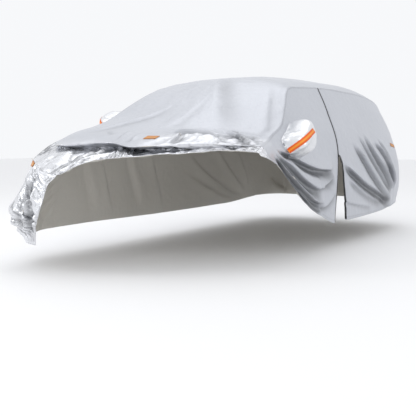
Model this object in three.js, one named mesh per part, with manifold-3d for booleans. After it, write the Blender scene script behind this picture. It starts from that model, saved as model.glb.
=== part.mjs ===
// A fitted car cover as it sits on a compact hatchback, its front left corner thrown back.
// Millimetres. +X is the car's left, -Y its front, +Z up. The origin lies under the roof cloth,
// at the place that carries it. The tables give places on the draped cloth: y from the middle
// of the wheelbase, z from the ground.
import * as THREE from "three";
import { mergeVertices } from "three/addons/utils/BufferGeometryUtils.js";
import Module from "manifold-3d";

// ---------- driving dimensions ----------
const CLOTH = 2.2; // coated cloth with its soft backing
const SEAM_GAP = 0.4; // free width between two pieces at a seam
const PATCH_THICK = 1.4; // a reflective strip
const ZIP_WIDTH = 14; // both halves of the closed zip, between the panels' edges
const ZIP_OPEN_AT = 0.62; // share of the way down the side at which the zip parts
const ZIP_OPEN_HEM = 0.9; // how far the rear half has moved back at the hem, in sections
const ZIP_OPEN_OVER = 2; // sections behind the zip that the moved cloth is gathered over
const ZIP_OPEN_CURVE = 0.8; // below 1 the gap opens quickly at its top
const SLIDER = {
  width: 11, length: 22, thick: 7, tab_start: 7, tab_length: 34, tab_width: 8, tab_thick: 2 };

// Knots across the centre panel, from its right seam (-1) to its left seam (+1),
// and down a side panel.
const ACROSS = [-1, -0.8, -0.4, -0.2, 0.1, 0.45, 0.8, 1];
const DOWN = [0, 0.27, 0.6, 1];

// ---------- sections from the tail hem to the foot of the windscreen ----------
// top: y, z over the middle. left: seam, upper, waist and hem, each x, y, z; the right side
// mirrors it, or has its own. crown: how flat the cloth lies before it rounds over.
// steps: rows of facets up to the next section.
const BODY_SECTIONS = [
  { name: "tail_hem", steps: 4, top: [2140, 300], crown: 2.4,
    left: [[620, 2092, 302], [745, 2045, 302], [845, 1955, 298], [902, 1800, 290]] },
  { name: "bumper", steps: 4, top: [2205, 620], crown: 2.6,
    left: [[665, 2150, 630], [800, 2082, 600], [895, 1925, 470], [925, 1610, 272]] },
  { name: "tailgate", steps: 4, top: [2175, 930], crown: 2.8,
    left: [[675, 2108, 935], [812, 2010, 850], [915, 1830, 650], [934, 1400, 256]] },
  { name: "rear_screen", steps: 4, top: [2075, 1245], crown: 3,
    left: [[668, 1990, 1200], [800, 1885, 1050], [915, 1690, 760], [936, 1190, 246]] },
  { name: "spoiler", steps: 5, top: [1930, 1508], crown: 3.2,
    left: [[664, 1755, 1390], [778, 1660, 1195], [916, 1480, 820], [936, 985, 240]] },
  { name: "roof_rear", steps: 7, top: [1400, 1588], crown: 3.4,
    left: [[676, 1270, 1450], [782, 1215, 1235], [920, 1090, 845], [936, 720, 236]] },
  { name: "roof_middle", steps: 7, top: [800, 1592], crown: 3.4,
    left: [[684, 720, 1466], [786, 700, 1250], [922, 620, 850], [936, 385, 233]],
    right: [[684, 720, 1474], [786, 700, 1250], [922, 620, 850], [936, 385, 233]] },
  { name: "zip", steps: 5, top: [180, 1585], crown: 3.3,
    left: [[682, 205, 1464], [776, 222, 1240], [918, 150, 880], [934, 74, 230]],
    right: [[686, 180, 1492], [780, 200, 1256], [918, 150, 880], [934, 74, 232]] },
  { name: "roof_front", steps: 3, top: [-170, 1568], crown: 3.1,
    left: [[688, -170, 1446], [782, -150, 1226], [918, -160, 850], [934, -150, 296]],
    right: [[690, -290, 1502], [786, -250, 1256], [918, -230, 856], [936, -220, 232]] },
  { name: "screen_top", steps: 4, top: [-410, 1524], crown: 2.8,
    left: [[694, -400, 1418], [790, -400, 1180], [916, -390, 850], [936, -360, 388]],
    right: [[708, -530, 1436], [800, -500, 1225], [918, -490, 856], [937, -480, 234]] },
  { name: "screen_middle", steps: 5, top: [-690, 1395], crown: 2.5,
    left: [[752, -560, 1262], [815, -560, 1100], [914, -570, 830], [938, -540, 470]],
    right: [[744, -775, 1318], [826, -740, 1146], [918, -740, 850], [938, -720, 236]] },
  { name: "screen_low", steps: 4, top: [-980, 1225], crown: 2.4,
    left: [[806, -715, 1110], [850, -715, 1010], [916, -720, 830], [938, -705, 580]],
    right: [[786, -1005, 1186], [852, -960, 1055], [920, -930, 820], [938, -910, 238]] },
];

// ---------- sections over the bonnet, where the two sides differ throughout ----------
// across: x, y, z at each knot of ACROSS. right, left: the upper, waist and hem (or free edge)
// points of the sides.
const BONNET_SECTIONS = [
  { name: "cowl", steps: 4,
    across: [[-808, -1195, 1112], [-655, -1240, 1116], [-335, -1262, 1104], [-165, -1266, 1092],
      [80, -1250, 1078], [370, -1170, 1060], [620, -1035, 1048], [812, -880, 1022]],
    right: [[-866, -1150, 985], [-926, -1110, 760], [-937, -1100, 240]],
    left: [[856, -880, 960], [912, -880, 850], [938, -870, 712]] },
  { name: "bonnet_rise", steps: 4,
    across: [[-822, -1410, 1058], [-668, -1510, 1046], [-340, -1520, 1030], [-170, -1530, 1026],
      [70, -1545, 1018], [335, -1490, 1008], [600, -1230, 996], [838, -1015, 968]],
    right: [[-872, -1350, 940], [-931, -1320, 740], [-938, -1310, 238]],
    left: [[872, -1010, 930], [912, -1010, 864], [936, -1005, 782]] },
  { name: "fold_edge", steps: 3,
    across: [[-824, -1610, 984], [-655, -1790, 950], [-335, -1655, 962], [-180, -1650, 960],
      [85, -1752, 934], [345, -1690, 940], [625, -1405, 948], [852, -1110, 938]],
    right: [[-880, -1560, 884], [-934, -1540, 700], [-938, -1530, 236]],
    left: [[880, -1110, 912], [910, -1112, 868], [932, -1110, 822]] },
  { name: "tuck", steps: 3,
    across: [[-822, -1672, 962], [-645, -1712, 924], [-325, -1560, 920], [-165, -1545, 918],
      [80, -1590, 914], [350, -1535, 914], [610, -1340, 924], [858, -1140, 926]],
    right: [[-882, -1640, 862], [-932, -1620, 690], [-936, -1610, 234]],
    left: [[884, -1140, 902], [908, -1142, 870], [928, -1140, 836]] },
  { name: "under_layer", steps: 4,
    across: [[-812, -1760, 926], [-640, -1870, 884], [-320, -1835, 868], [-170, -1765, 874],
      [70, -1710, 882], [335, -1620, 888], [612, -1385, 905], [862, -1172, 912]],
    right: [[-878, -1765, 830], [-930, -1755, 640], [-932, -1740, 230]],
    left: [[886, -1172, 892], [905, -1175, 870], [922, -1176, 848]] },
  { name: "free_edge", steps: 0,
    across: [[-762, -1930, 850], [-610, -2045, 796], [-304, -2120, 726], [-165, -1955, 820],
      [120, -1835, 858], [440, -1600, 884], [700, -1330, 898], [868, -1222, 888]],
    right: [[-785, -1995, 700], [-842, -2110, 405], [-800, -2012, 212]],
    left: [[888, -1228, 880], [901, -1232, 871], [912, -1238, 862]] },
];

// The right panel goes on round the front corner, below the centre panel's last section,
// as far as this knot.
const CORNER_END = -0.4;
const CORNER_COLUMNS = [
  { knot: -0.8, steps: 4, points: [[-622, -2122, 690], [-640, -2196, 440], [-622, -2150, 204]] },
  { knot: CORNER_END, steps: 5, points: [[-335, -2188, 640], [-388, -2222, 420], [-474, -2196, 200]] },
];

// ---------- mirror pockets ----------
// The mouth is an oval in the side panel, round a place along the sections and a share of
// the way down. droop: how much higher it is at its front. rearward, rise: the pod's lean.
const POCKETS = {
  left: { along: 10.63, down: 0.37, sections_wide: 0.9, share_high: 0.18, droop: 0.2,
    depth: 205, rearward: 30, rise: -10 },
  right: { along: 10.45, down: 0.27, sections_wide: 0.55, share_high: 0.17, droop: 0.1,
    depth: 190, rearward: 0, rise: 25 },
};
const POD_SIDES = 24; // points round a pod
const POD_COLLAR = 9; // first rise, square to the side panel
const POD_RINGS = [0.16, 0.34, 0.53, 0.72, 0.88, 0.98]; // shares of its profile, collar to end
const POD_ROUNDING = { mouth: 0.8, radius: 0.5, height: 0.85 }; // powers: 1 would be a plain ellipse
const MOUTH_CUT = 60; // how far each side of the panel the mouth's cutter reaches

// ---------- reflective strips ----------
// at: a place near the strip's middle. along: its length's way. facing: the way it looks.
// size: length, width. The box that cuts a strip from the skin over its piece is STRIP_REACH deep.
const STRIP_REACH = 110;
const STRIPS = [
  { name: "headlamp_strip_left", on: "centre", at: [150, -1600, 985], along: [1, -0.12, 0],
    facing: [0, -0.5, 1], size: [165, 38] },
  { name: "headlamp_strip_right", on: "right", at: [-830, -1900, 800], along: [-0.55, 0.8, 0.1],
    facing: [-0.8, -0.6, 0.2], size: [150, 38] },
  { name: "mirror_strip_left", on: "pod_left", at: [1010, -745, 965], along: [0.42, 0.62, 0.55],
    facing: [0.6, -0.8, 0], size: [380, 40] },
  { name: "mirror_strip_right", on: "pod_right", at: [-995, -905, 1110], along: [-0.42, 0.62, 0.55],
    facing: [-0.6, -0.8, 0], size: [330, 40] },
  { name: "tail_strip_left", on: "left_rear", at: [900, 1745, 925], along: [-0.4, 0.9, -0.12],
    facing: [0.9, 0.4, 0], size: [170, 34] },
  { name: "tail_strip_right", on: "right", at: [-900, 1745, 925], along: [0.4, 0.9, -0.12],
    facing: [-0.9, 0.4, 0], size: [170, 34] },
];

// ---------- the main folds ----------
// line: the crest, in the two named axes. height, width: of the crest. trough: the side on
// which its hollow lies, so far off in widths and so deep in heights as FOLD_HOLLOW says.
const FOLD_HOLLOW = { off: 1.3, deep: 0.8 };
const FOLD_FADE = { start: 0.25, end: 0.15 }; // shares of its length over which a fold rises and dies
const FOLD_FACING = 0.4; // a fold lies only on cloth that faces its table's way by more than half this
const SEAM_FADE = 0.15; // share of a panel's width next to a seam in which its folds die out
const FOLDS = {
  left_front: { axes: [1, 2], list: [
    { height: 26, width: 46, trough: -1,
      line: [[-960, 925], [-760, 890], [-560, 845], [-270, 800], [40, 745]] },
    { height: 26, width: 44, trough: -1,
      line: [[-1010, 900], [-820, 815], [-620, 730], [-400, 650], [-120, 600]] },
    { height: 30, width: 42, trough: -1,
      line: [[-1040, 885], [-860, 770], [-660, 640], [-430, 520], [-190, 455]] },
  ] },
  left_rear: { axes: [1, 2], list: [
    { height: 30, width: 58, trough: -1,
      line: [[300, 800], [520, 700], [800, 590], [1100, 480], [1380, 390], [1620, 320]] },
    { height: 26, width: 54, trough: -1,
      line: [[560, 985], [780, 830], [1050, 660], [1300, 520], [1560, 370]] },
    { height: 26, width: 52, trough: -1,
      line: [[900, 1060], [1120, 900], [1330, 740], [1520, 560], [1660, 390]] },
    { height: 22, width: 50, trough: -1,
      line: [[1230, 960], [1450, 820], [1620, 660], [1720, 480], [1740, 360]] },
  ] },
  right: { axes: [1, 2], list: [
    { height: 20, width: 65, trough: 1, line: [[-1250, 880], [-1180, 600], [-1140, 330]] },
    { height: 18, width: 60, trough: 1, line: [[-640, 880], [-560, 600], [-500, 330]] },
    { height: 22, width: 65, trough: -1, line: [[400, 900], [800, 640], [1300, 420], [1620, 330]] },
    { height: 20, width: 60, trough: -1, line: [[900, 1000], [1250, 740], [1560, 480]] },
  ] },
  corner: { axes: [0, 2], list: [
    { height: 22, width: 50, trough: 1, line: [[-560, 800], [-600, 600], [-560, 380], [-640, 250]] },
    { height: 18, width: 45, trough: -1, line: [[-420, 720], [-470, 560], [-430, 400], [-520, 240]] },
    { height: 22, width: 50, trough: -1, line: [[-820, 520], [-720, 430], [-560, 400]] },
  ] },
  centre: { axes: [0, 1], list: [
    { height: 16, width: 70, trough: 1, line: [[300, -520], [370, -760], [385, -1000], [360, -1160]] },
    { height: 14, width: 75, trough: -1,
      line: [[-560, -640], [-470, -950], [-330, -1250], [-120, -1420]] },
    { height: 12, width: 70, trough: 1,
      line: [[-250, -560], [-150, -800], [60, -1060], [170, -1240]] },
    { height: 22, width: 60, trough: 1, line: [[420, -1120], [500, -1230], [520, -1330]] },
    { height: 12, width: 60, trough: 1, line: [[640, -760], [560, -960], [540, -1120]] },
  ] },
};

// ---------- small vector and spline helpers ----------
const add = (a, b, k = 1) => a.map((v, i) => v + k * b[i]);
const sub = (a, b) => add(a, b, -1);
const mix = (a, b, k) => a.map((v, i) => v + k * (b[i] - v));
const dot = (a, b) => a.reduce((s, v, i) => s + v * b[i], 0);
const cross = (a, b) =>
  [a[1] * b[2] - a[2] * b[1], a[2] * b[0] - a[0] * b[2], a[0] * b[1] - a[1] * b[0]];
const unit = (a) => a.map((v) => v / Math.hypot(...a));
const mirrored = (p) => [-p[0], p[1], p[2]];
// n equal steps from a to b, both ends with them.
const steps = (a, b, n) => Array.from({ length: n + 1 }, (_, k) => (k ? a + ((b - a) * k) / n : a));
const smooth = (t) => {
  const c = Math.min(1, Math.max(0, t));
  return c * c * (3 - 2 * c);
};

// A smooth curve through points at rising knots.
function spline(knots, points, t) {
  const last = knots.length - 1;
  let k = 0;
  while (k < last - 1 && t > knots[k + 1]) k++;
  const slope = (i) => {
    const [a, b] = [Math.max(0, i - 1), Math.min(last, i + 1)];
    return sub(points[b], points[a]).map((v) => v / (knots[b] - knots[a]));
  };
  const h = knots[k + 1] - knots[k];
  const s = (t - knots[k]) / h;
  const [m0, m1] = [slope(k), slope(k + 1)];
  return points[k].map((p, i) =>
    p * (2 * s ** 3 - 3 * s ** 2 + 1) + points[k + 1][i] * (3 * s ** 2 - 2 * s ** 3) +
    h * m0[i] * (s ** 3 - 2 * s ** 2 + s) + h * m1[i] * (s ** 3 - s ** 2));
}

// ---------- the draped form ----------
const CROWN_BACK = 0.8; // below 1 the cloth runs back from the middle before it drops
function crowned({ top, crown, left, right = left }) {
  return ACROSS.map((u) => {
    const [x, y, z] = (u < 0 ? right : left)[0];
    const drop = Math.abs(u) ** crown;
    return [x * u, top[0] + (y - top[0]) * drop ** CROWN_BACK, top[1] + (z - top[1]) * drop];
  });
}
const SECTIONS = [
  ...BODY_SECTIONS.map((s) =>
    ({ ...s, across: crowned(s), right: (s.right ?? s.left).map(mirrored) })),
  ...BONNET_SECTIONS.map((s) =>
    ({ ...s, left: [s.across.at(-1), ...s.left], right: [s.across[0], ...s.right] })),
];
const SECTION_KNOTS = SECTIONS.map((_, i) => i);
const LAST = SECTIONS.length - 1;
const ZIP = SECTIONS.findIndex((s) => s.name === "zip");
const section = (pick, v) => spline(SECTION_KNOTS, SECTIONS.map(pick), v);

// v runs along the sections, u across the centre panel and t down a side panel.
const centrePoint = (u, v) =>
  spline(ACROSS, ACROSS.map((_, k) => section((s) => s.across[k], v)), u);
const sidePoint = (side, t, v) =>
  spline(DOWN, DOWN.map((_, k) => section((s) => s[side][k], v)), t);
const CORNER_BEFORE = -1.35; // the knot that stands for the section before the corner
function cornerPoint(t, u) {
  const knots = [CORNER_BEFORE, ACROSS[0], ...CORNER_COLUMNS.map((c) => c.knot)];
  const columns = [SECTIONS[LAST - 1].right.slice(1), SECTIONS[LAST].right.slice(1),
    ...CORNER_COLUMNS.map((c) => c.points)];
  const below = [0, 1, 2].map((k) => spline(knots, columns.map((c) => c[k]), u));
  return spline(DOWN, [centrePoint(u, LAST), ...below], t);
}

// How far the folds of one table lift a place whose cloth faces the given way.
function foldLift({ axes, list }, place, facing) {
  const [a, b] = axes.map((k) => place[k]);
  const seen = smooth(2 * Math.abs(facing[3 - axes[0] - axes[1]]) - FOLD_FACING);
  let lift = 0;
  for (const { height, width, trough, line } of list) {
    const legs = line.slice(1).map((p, i) => ({ from: line[i], way: sub(p, line[i]) }));
    const whole = legs.reduce((s, leg) => s + Math.hypot(...leg.way), 0);
    let nearest = { gap: Infinity };
    let gone = 0;
    for (const { from, way } of legs) {
      const length = Math.hypot(...way);
      const along = unit(way);
      const reach = Math.min(length, Math.max(0, dot([a - from[0], b - from[1]], along)));
      const off = [a - from[0] - reach * along[0], b - from[1] - reach * along[1]];
      const gap = Math.hypot(...off);
      const sign = Math.sign(along[0] * off[1] - along[1] * off[0]);
      if (gap < nearest.gap) nearest = { gap, offset: sign * gap, share: (gone + reach) / whole };
      gone += length;
    }
    const { share, offset } = nearest;
    const fade = smooth(share / FOLD_FADE.start) * smooth((1 - share) / FOLD_FADE.end);
    const crest = Math.exp(-((offset / width) ** 2));
    const hollow = Math.exp(-((offset / width - FOLD_HOLLOW.off * trough) ** 2));
    lift += height * fade * (crest - FOLD_HOLLOW.deep * hollow);
  }
  return lift * seen;
}

// ---------- grids of points ----------
// A grid has a row for each station along the cover and a column for each place across.
const V_ALL = SECTIONS.flatMap((s, i) => (s.steps ? steps(i, i + 1, s.steps).slice(0, -1) : [i]));
const U_OVER_CORNER = [...steps(-1, -0.8, 2), ...steps(-0.8, CORNER_END, 3).slice(1)];
const U_ALL = [
  ...U_OVER_CORNER, ...steps(CORNER_END, 0.8, 7).slice(1), ...steps(0.8, 1, 2).slice(1)];
const T_LEFT = [
  0, 0.08, 0.17, 0.26, 0.35, 0.44, 0.53, ZIP_OPEN_AT, 0.675, 0.73, 0.785, 0.84, 0.895, 0.95, 1];
const T_RIGHT = [0, 0.09, 0.18, 0.29, 0.4, 0.52, 0.64, 0.76, 0.88, 1];

// A place on the smooth form, lifted by its folds; edge keeps the folds off the seams.
const NEARBY = 1e-3;
function drapedPoint({ form, folds, edge }, c, v) {
  const place = form(c, v);
  const along = sub(form(c, v + NEARBY), form(c, v - NEARBY));
  const facing = unit(cross(along, sub(form(c + NEARBY, v), form(c - NEARBY, v))));
  const lift = folds.reduce((s, table) => s + foldLift(table, place, facing), 0);
  return add(place, facing, lift * edge(c, v));
}

// The facets of a grid, each square split along the diagonal that lies nearer the cloth;
// a long diagonal counts as this share of its length further off.
const LONG_DIAGONAL = 0.12;
function facetsOf({ points, rows, columns, cloth }) {
  const list = [];
  const id = (i, j) => i * columns.length + j;
  for (let i = 0; i < rows.length - 1; i++)
    for (let j = 0; j < columns.length - 1; j++) {
      const corners = [[i, j], [i, j + 1], [i + 1, j + 1], [i + 1, j]];
      const [a, b, c, d] = corners.map(([p, q]) => points[p][q]);
      const [column, row] = [(columns[j] + columns[j + 1]) / 2, (rows[i] + rows[i + 1]) / 2];
      const middle = drapedPoint(cloth, column, row);
      const cost = (p, q) =>
        Math.hypot(...sub(mix(p, q, 0.5), middle)) + LONG_DIAGONAL * Math.hypot(...sub(p, q));
      const [A, B, C, D] = corners.map((p) => id(...p));
      if (cost(a, c) < cost(b, d)) list.push([A, D, C], [A, C, B]);
      else list.push([A, D, B], [D, C, B]);
    }
  return list;
}

// Outward normals at a grid's points; the right side's grid is turned, as it runs the other way.
function gridNormals({ points, facets, turned }) {
  const flat = points.flat();
  const sums = flat.map(() => [0, 0, 0]);
  for (const [a, b, c] of facets) {
    const face = cross(sub(flat[b], flat[a]), sub(flat[c], flat[a]));
    for (const k of [a, b, c]) sums[k] = add(sums[k], face, turned ? -1 : 1);
  }
  const width = points[0].length;
  return points.map((row, i) => row.map((_, j) => unit(sums[i * width + j])));
}

function panel(rows, columns, form, folds, edge, turned = false) {
  const cloth = { form, folds, edge };
  const points = rows.map((v) => columns.map((c) => drapedPoint(cloth, c, v)));
  const made = { rows, columns, cloth, points, turned };
  made.facets = facetsOf(made);
  made.normals = gridNormals(made);
  return made;
}

// Gives the pieces that meet at each place of a seam the same normal there.
function weldNormals(places) {
  for (const group of places) {
    const shared = unit(group.reduce((s, [p, i, j]) => add(s, p.normals[i][j]), [0, 0, 0]));
    for (const [p, i, j] of group) p.normals[i][j] = shared;
  }
}

// The points of one edge of a grid, from the outermost line (depth 0) inwards.
const EDGES = {
  first_row: (k, depth) => [depth, k],
  last_row: (k, depth, rows) => [rows - 1 - depth, k],
  first_column: (k, depth) => [k, depth],
  last_column: (k, depth, rows, columns) => [k, columns - 1 - depth],
};

// Moves one edge of a grid into the cloth by a distance, square to the edge; its two ends
// slide along their neighbours.
function trim({ points, normals }, edge, distance) {
  const size = [points.length, points[0].length];
  const last = (edge.endsWith("row") ? size[1] : size[0]) - 1;
  const spot = (k, depth) => EDGES[edge](k, depth, ...size);
  const at = (k, depth) => spot(k, depth).reduce((list, n) => list[n], points);
  const moved = steps(0, last, last).map((k) => {
    const [i, j] = spot(k, 0);
    const along = unit(sub(at(Math.min(last, k + 1), 0), at(Math.max(0, k - 1), 0)));
    const square = unit(cross(along, normals[i][j]));
    const inward = unit(sub(at(k, 1), at(k, 0)));
    const wanted = typeof distance === "function" ? distance(k) : distance;
    const atEnd = k === 0 || k === last;
    const lean = dot(inward, square);
    return atEnd
      ? add(at(k, 0), inward, wanted / Math.abs(lean))
      : add(at(k, 0), square, wanted * Math.sign(lean));
  });
  moved.forEach((p, k) => {
    const [i, j] = spot(k, 0);
    points[i][j] = p;
  });
}

// ---------- solids ----------
function geometryOf(vertices, triangles) {
  const geometry = new THREE.BufferGeometry();
  geometry.setAttribute("position", new THREE.Float32BufferAttribute(vertices.flat(), 3));
  geometry.setIndex(triangles.flat());
  return geometry;
}

// A closed sheet from a grid: its outer face stands off the grid by outside, and its inner
// face lies thick behind that.
function sheet({ points, normals, facets, turned }, outside = 0, thick = CLOTH) {
  const [rows, columns] = [points.length, points[0].length];
  const layer = (offset) =>
    points.flatMap((row, i) => row.map((p, j) => add(p, normals[i][j], offset)));
  const count = rows * columns;
  const triangles = [...facets, ...facets.map(([a, b, c]) => [c + count, b + count, a + count])];
  const rim = [
    ...steps(0, columns - 2, columns - 2).map((j) => [0, j]),
    ...steps(0, rows - 2, rows - 2).map((i) => [i, columns - 1]),
    ...steps(columns - 1, 1, columns - 2).map((j) => [rows - 1, j]),
    ...steps(rows - 1, 1, rows - 2).map((i) => [i, 0]),
  ].map(([i, j]) => i * columns + j);
  rim.forEach((a, k) => {
    const b = rim[(k + 1) % rim.length];
    triangles.push([a, b, b + count], [a, b + count, a + count]);
  });
  const faces = turned ? triangles.map(([a, b, c]) => [a, c, b]) : triangles;
  return geometryOf([...layer(outside), ...layer(outside - thick)], faces);
}

// A closed surface through rings of points, each end closed by a fan round its middle.
function ringed(rings, turned) {
  const count = rings[0].length;
  const middle = (ring) => ring.reduce((s, p) => add(s, p, 1 / count), [0, 0, 0]);
  const vertices = [...rings.flat(), middle(rings[0]), middle(rings.at(-1))];
  const triangles = [];
  for (let j = 0; j < count; j++) {
    const next = (j + 1) % count;
    const base = (rings.length - 1) * count;
    triangles.push([vertices.length - 2, next, j], [vertices.length - 1, base + j, base + next]);
    for (let i = 0; i < base; i += count) {
      const [a, b, c, d] = [i + j, i + next, i + count + next, i + count + j];
      triangles.push([a, b, c], [a, c, d]);
    }
  }
  return geometryOf(vertices, turned ? triangles.map(([a, b, c]) => [a, c, b]) : triangles);
}

const wasm = await Module();
wasm.setup();

function solidOf(geometry) {
  const bare = geometry.clone();
  bare.deleteAttribute("normal");
  bare.deleteAttribute("uv");
  const merged = mergeVertices(bare, 1e-4);
  return new wasm.Manifold(new wasm.Mesh({
    numProp: 3,
    vertProperties: merged.attributes.position.array,
    triVerts: new Uint32Array(merged.index.array),
  }));
}

function geometryFrom(made) {
  const { vertProperties, triVerts } = made.getMesh();
  const geometry = new THREE.BufferGeometry();
  geometry.setAttribute("position", new THREE.BufferAttribute(vertProperties, 3));
  geometry.setIndex(new THREE.BufferAttribute(triVerts, 1));
  return geometry;
}

// A box that lies at a place, its length, height and depth along three given ways.
function boxAt(place, [length, height, depth], along, outward) {
  const up = unit(cross(outward, along));
  const out = cross(along, up);
  const frame = new THREE.Matrix4().makeBasis(...[along, up, out].map((v) => new THREE.Vector3(...v)));
  frame.setPosition(...place);
  return new THREE.BoxGeometry(length, height, depth).applyMatrix4(frame);
}

// ---------- the four panels ----------
const offSeam = (share) => smooth(share / SEAM_FADE);
const V_REAR = V_ALL.filter((v) => v <= ZIP);
const V_FRONT = V_ALL.filter((v) => v >= ZIP);
const V_RIGHT = [...V_ALL, ...U_OVER_CORNER.slice(1).map((_, k) => LAST + k + 1)];

// Behind the zip the rows crowd together where its rear half has swung back.
const opening = (t) =>
  ZIP_OPEN_HEM * Math.max(0, (t - ZIP_OPEN_AT) / (1 - ZIP_OPEN_AT)) ** ZIP_OPEN_CURVE;
const rearPoint = (t, v) =>
  sidePoint("left", t, v - opening(t) * Math.max(0, (v - ZIP) / ZIP_OPEN_OVER + 1));
const frontPoint = (t, v) => sidePoint("left", t, v);
// The right panel's rows run along the side and then on round the front corner.
const cornerU = (v) => spline(U_OVER_CORNER.map((_, k) => k), U_OVER_CORNER.map((u) => [u]), v - LAST)[0];
const rightPoint = (t, v) => (v <= LAST ? sidePoint("right", t, v) : cornerPoint(t, cornerU(v)));

// The front half's folds die out towards the closed zip, and less so towards its free edge.
const ZIP_FADE = { closed: [0, 1.5], open: [0.3, 3] }; // share at the zip, rise per section
const offZip = (t, v) => {
  const [share, rise] = t > ZIP_OPEN_AT ? ZIP_FADE.open : ZIP_FADE.closed;
  return smooth(share + rise * (v - ZIP));
};
const offFrontEdges = (t, v) => offSeam(t) * offZip(t, v);

const centre = panel(V_ALL, U_ALL, centrePoint, [FOLDS.centre], (u) => offSeam(1 - Math.abs(u)));
const leftRear = panel(V_REAR, T_LEFT, rearPoint, [FOLDS.left_rear], offSeam);
const leftFront = panel(V_FRONT, T_LEFT, frontPoint, [FOLDS.left_front], offFrontEdges);
const right = panel(V_RIGHT, T_RIGHT, rightPoint, [FOLDS.right, FOLDS.corner], offSeam, true);

const zipRow = V_REAR.length - 1;
const closedTo = T_LEFT.indexOf(ZIP_OPEN_AT);
weldNormals([
  ...V_REAR.slice(0, -1).map((_, i) => [[centre, i, U_ALL.length - 1], [leftRear, i, 0]]),
  [[centre, zipRow, U_ALL.length - 1], [leftRear, zipRow, 0], [leftFront, 0, 0]],
  ...V_FRONT.slice(1).map((_, k) =>
    [[centre, zipRow + k + 1, U_ALL.length - 1], [leftFront, k + 1, 0]]),
  ...T_LEFT.slice(1, closedTo + 1).map((_, k) => [[leftRear, zipRow, k + 1], [leftFront, 0, k + 1]]),
  ...V_ALL.map((_, i) => [[centre, i, 0], [right, i, 0]]),
  ...U_OVER_CORNER.slice(1).map((_, k) =>
    [[centre, V_ALL.length - 1, k + 1], [right, V_ALL.length + k, 0]]),
]);

// ---------- the zip ----------
// A panel's front or rear edge, moved into its cloth by a distance, from one column to another.
function edgeLine({ points, normals }, edge, distance, from, to) {
  const moved = { points: points.map((row) => [...row]), normals };
  trim(moved, edge, distance);
  return moved.points.at(edge === "first_row" ? 0 : -1).slice(from, to);
}

// A strip of two rows, the rear one first.
function strip(rear, front, normals) {
  const n = rear.length;
  const facets = rear.slice(1).flatMap((_, j) => [[j, n + j, n + j + 1], [j, n + j + 1, j + 1]]);
  return { points: [rear, front], normals: [normals, normals], facets, turned: false };
}

const half = ZIP_WIDTH / 2;
const rearNormals = leftRear.normals.at(-1);
const frontNormals = leftFront.normals[0];
const closed = [0, closedTo + 1];
const open = [closedTo, T_LEFT.length];
const zipClosed = strip(edgeLine(leftRear, "last_row", half, ...closed),
  edgeLine(leftFront, "first_row", half, ...closed), frontNormals.slice(...closed));
const tapeRear = strip(edgeLine(leftRear, "last_row", half, ...open),
  edgeLine(leftRear, "last_row", 0, ...open), rearNormals.slice(...open));
const tapeFront = strip(edgeLine(leftFront, "first_row", 0, ...open),
  edgeLine(leftFront, "first_row", half, ...open), frontNormals.slice(...open));
trim(zipClosed, "first_column", SEAM_GAP / 2);
for (const tape of [tapeRear, tapeFront]) trim(tape, "first_column", SLIDER.length + 2 * SEAM_GAP);

// The slider sits where the two halves part, its tab hanging over the opening.
function sliderGeometry() {
  const { width, length, thick, tab_start, tab_length, tab_width, tab_thick } = SLIDER;
  const [start, next] = leftFront.points[0].slice(closedTo);
  const down = unit(sub(next, start));
  const out = frontNormals[closedTo];
  const place = (below, outside) => add(add(start, down, below), out, outside);
  const body = boxAt(place(SEAM_GAP + length / 2, -CLOTH / 2), [length, width, thick], down, out);
  const root = tab_thick / 2; // the tab's depth inside the slider's body
  const tab = boxAt(place(tab_start + tab_length / 2, (thick - CLOTH + tab_thick - root) / 2),
    [tab_length, tab_width, tab_thick + root], down, out);
  return geometryFrom(solidOf(body).add(solidOf(tab)));
}
const slider = sliderGeometry();

// ---------- trimming the panels along their seams ----------
trim(centre, "first_column", SEAM_GAP / 2);
trim(centre, "last_column", SEAM_GAP / 2);
trim(centre, "last_row", (k) => (k < U_OVER_CORNER.length ? SEAM_GAP / 2 : 0));
trim(right, "first_column", SEAM_GAP / 2);
trim(leftRear, "first_column", SEAM_GAP / 2);
trim(leftFront, "first_column", SEAM_GAP / 2);
trim(leftRear, "last_row", half + SEAM_GAP);
trim(leftFront, "first_row", half + SEAM_GAP);

// ---------- mirror pockets ----------
// A place on a panel's facets, and its normal, from its stations.
function onFacets({ rows, columns, points, normals, facets }, v, t) {
  const i = Math.max(0, rows.findLastIndex((r) => r <= v));
  const j = Math.max(0, columns.findLastIndex((c) => c <= t));
  const a = (v - rows[i]) / (rows[i + 1] - rows[i]);
  const b = (t - columns[j]) / (columns[j + 1] - columns[j]);
  const fromCorner = facets[2 * (i * (columns.length - 1) + j)][2] === (i + 1) * columns.length + j + 1;
  const shares = fromCorner
    ? [1 - Math.max(a, b), Math.max(0, b - a), Math.min(a, b), Math.max(0, a - b)]
    : [Math.max(0, 1 - a - b), Math.min(b, 1 - a), Math.max(0, a + b - 1), Math.min(a, 1 - b)];
  const blend = (grid) => [grid[i][j], grid[i][j + 1], grid[i + 1][j + 1], grid[i + 1][j]]
    .reduce((s, p, k) => add(s, p, shares[k]), [0, 0, 0]);
  return { place: blend(points), normal: unit(blend(normals)) };
}

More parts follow.
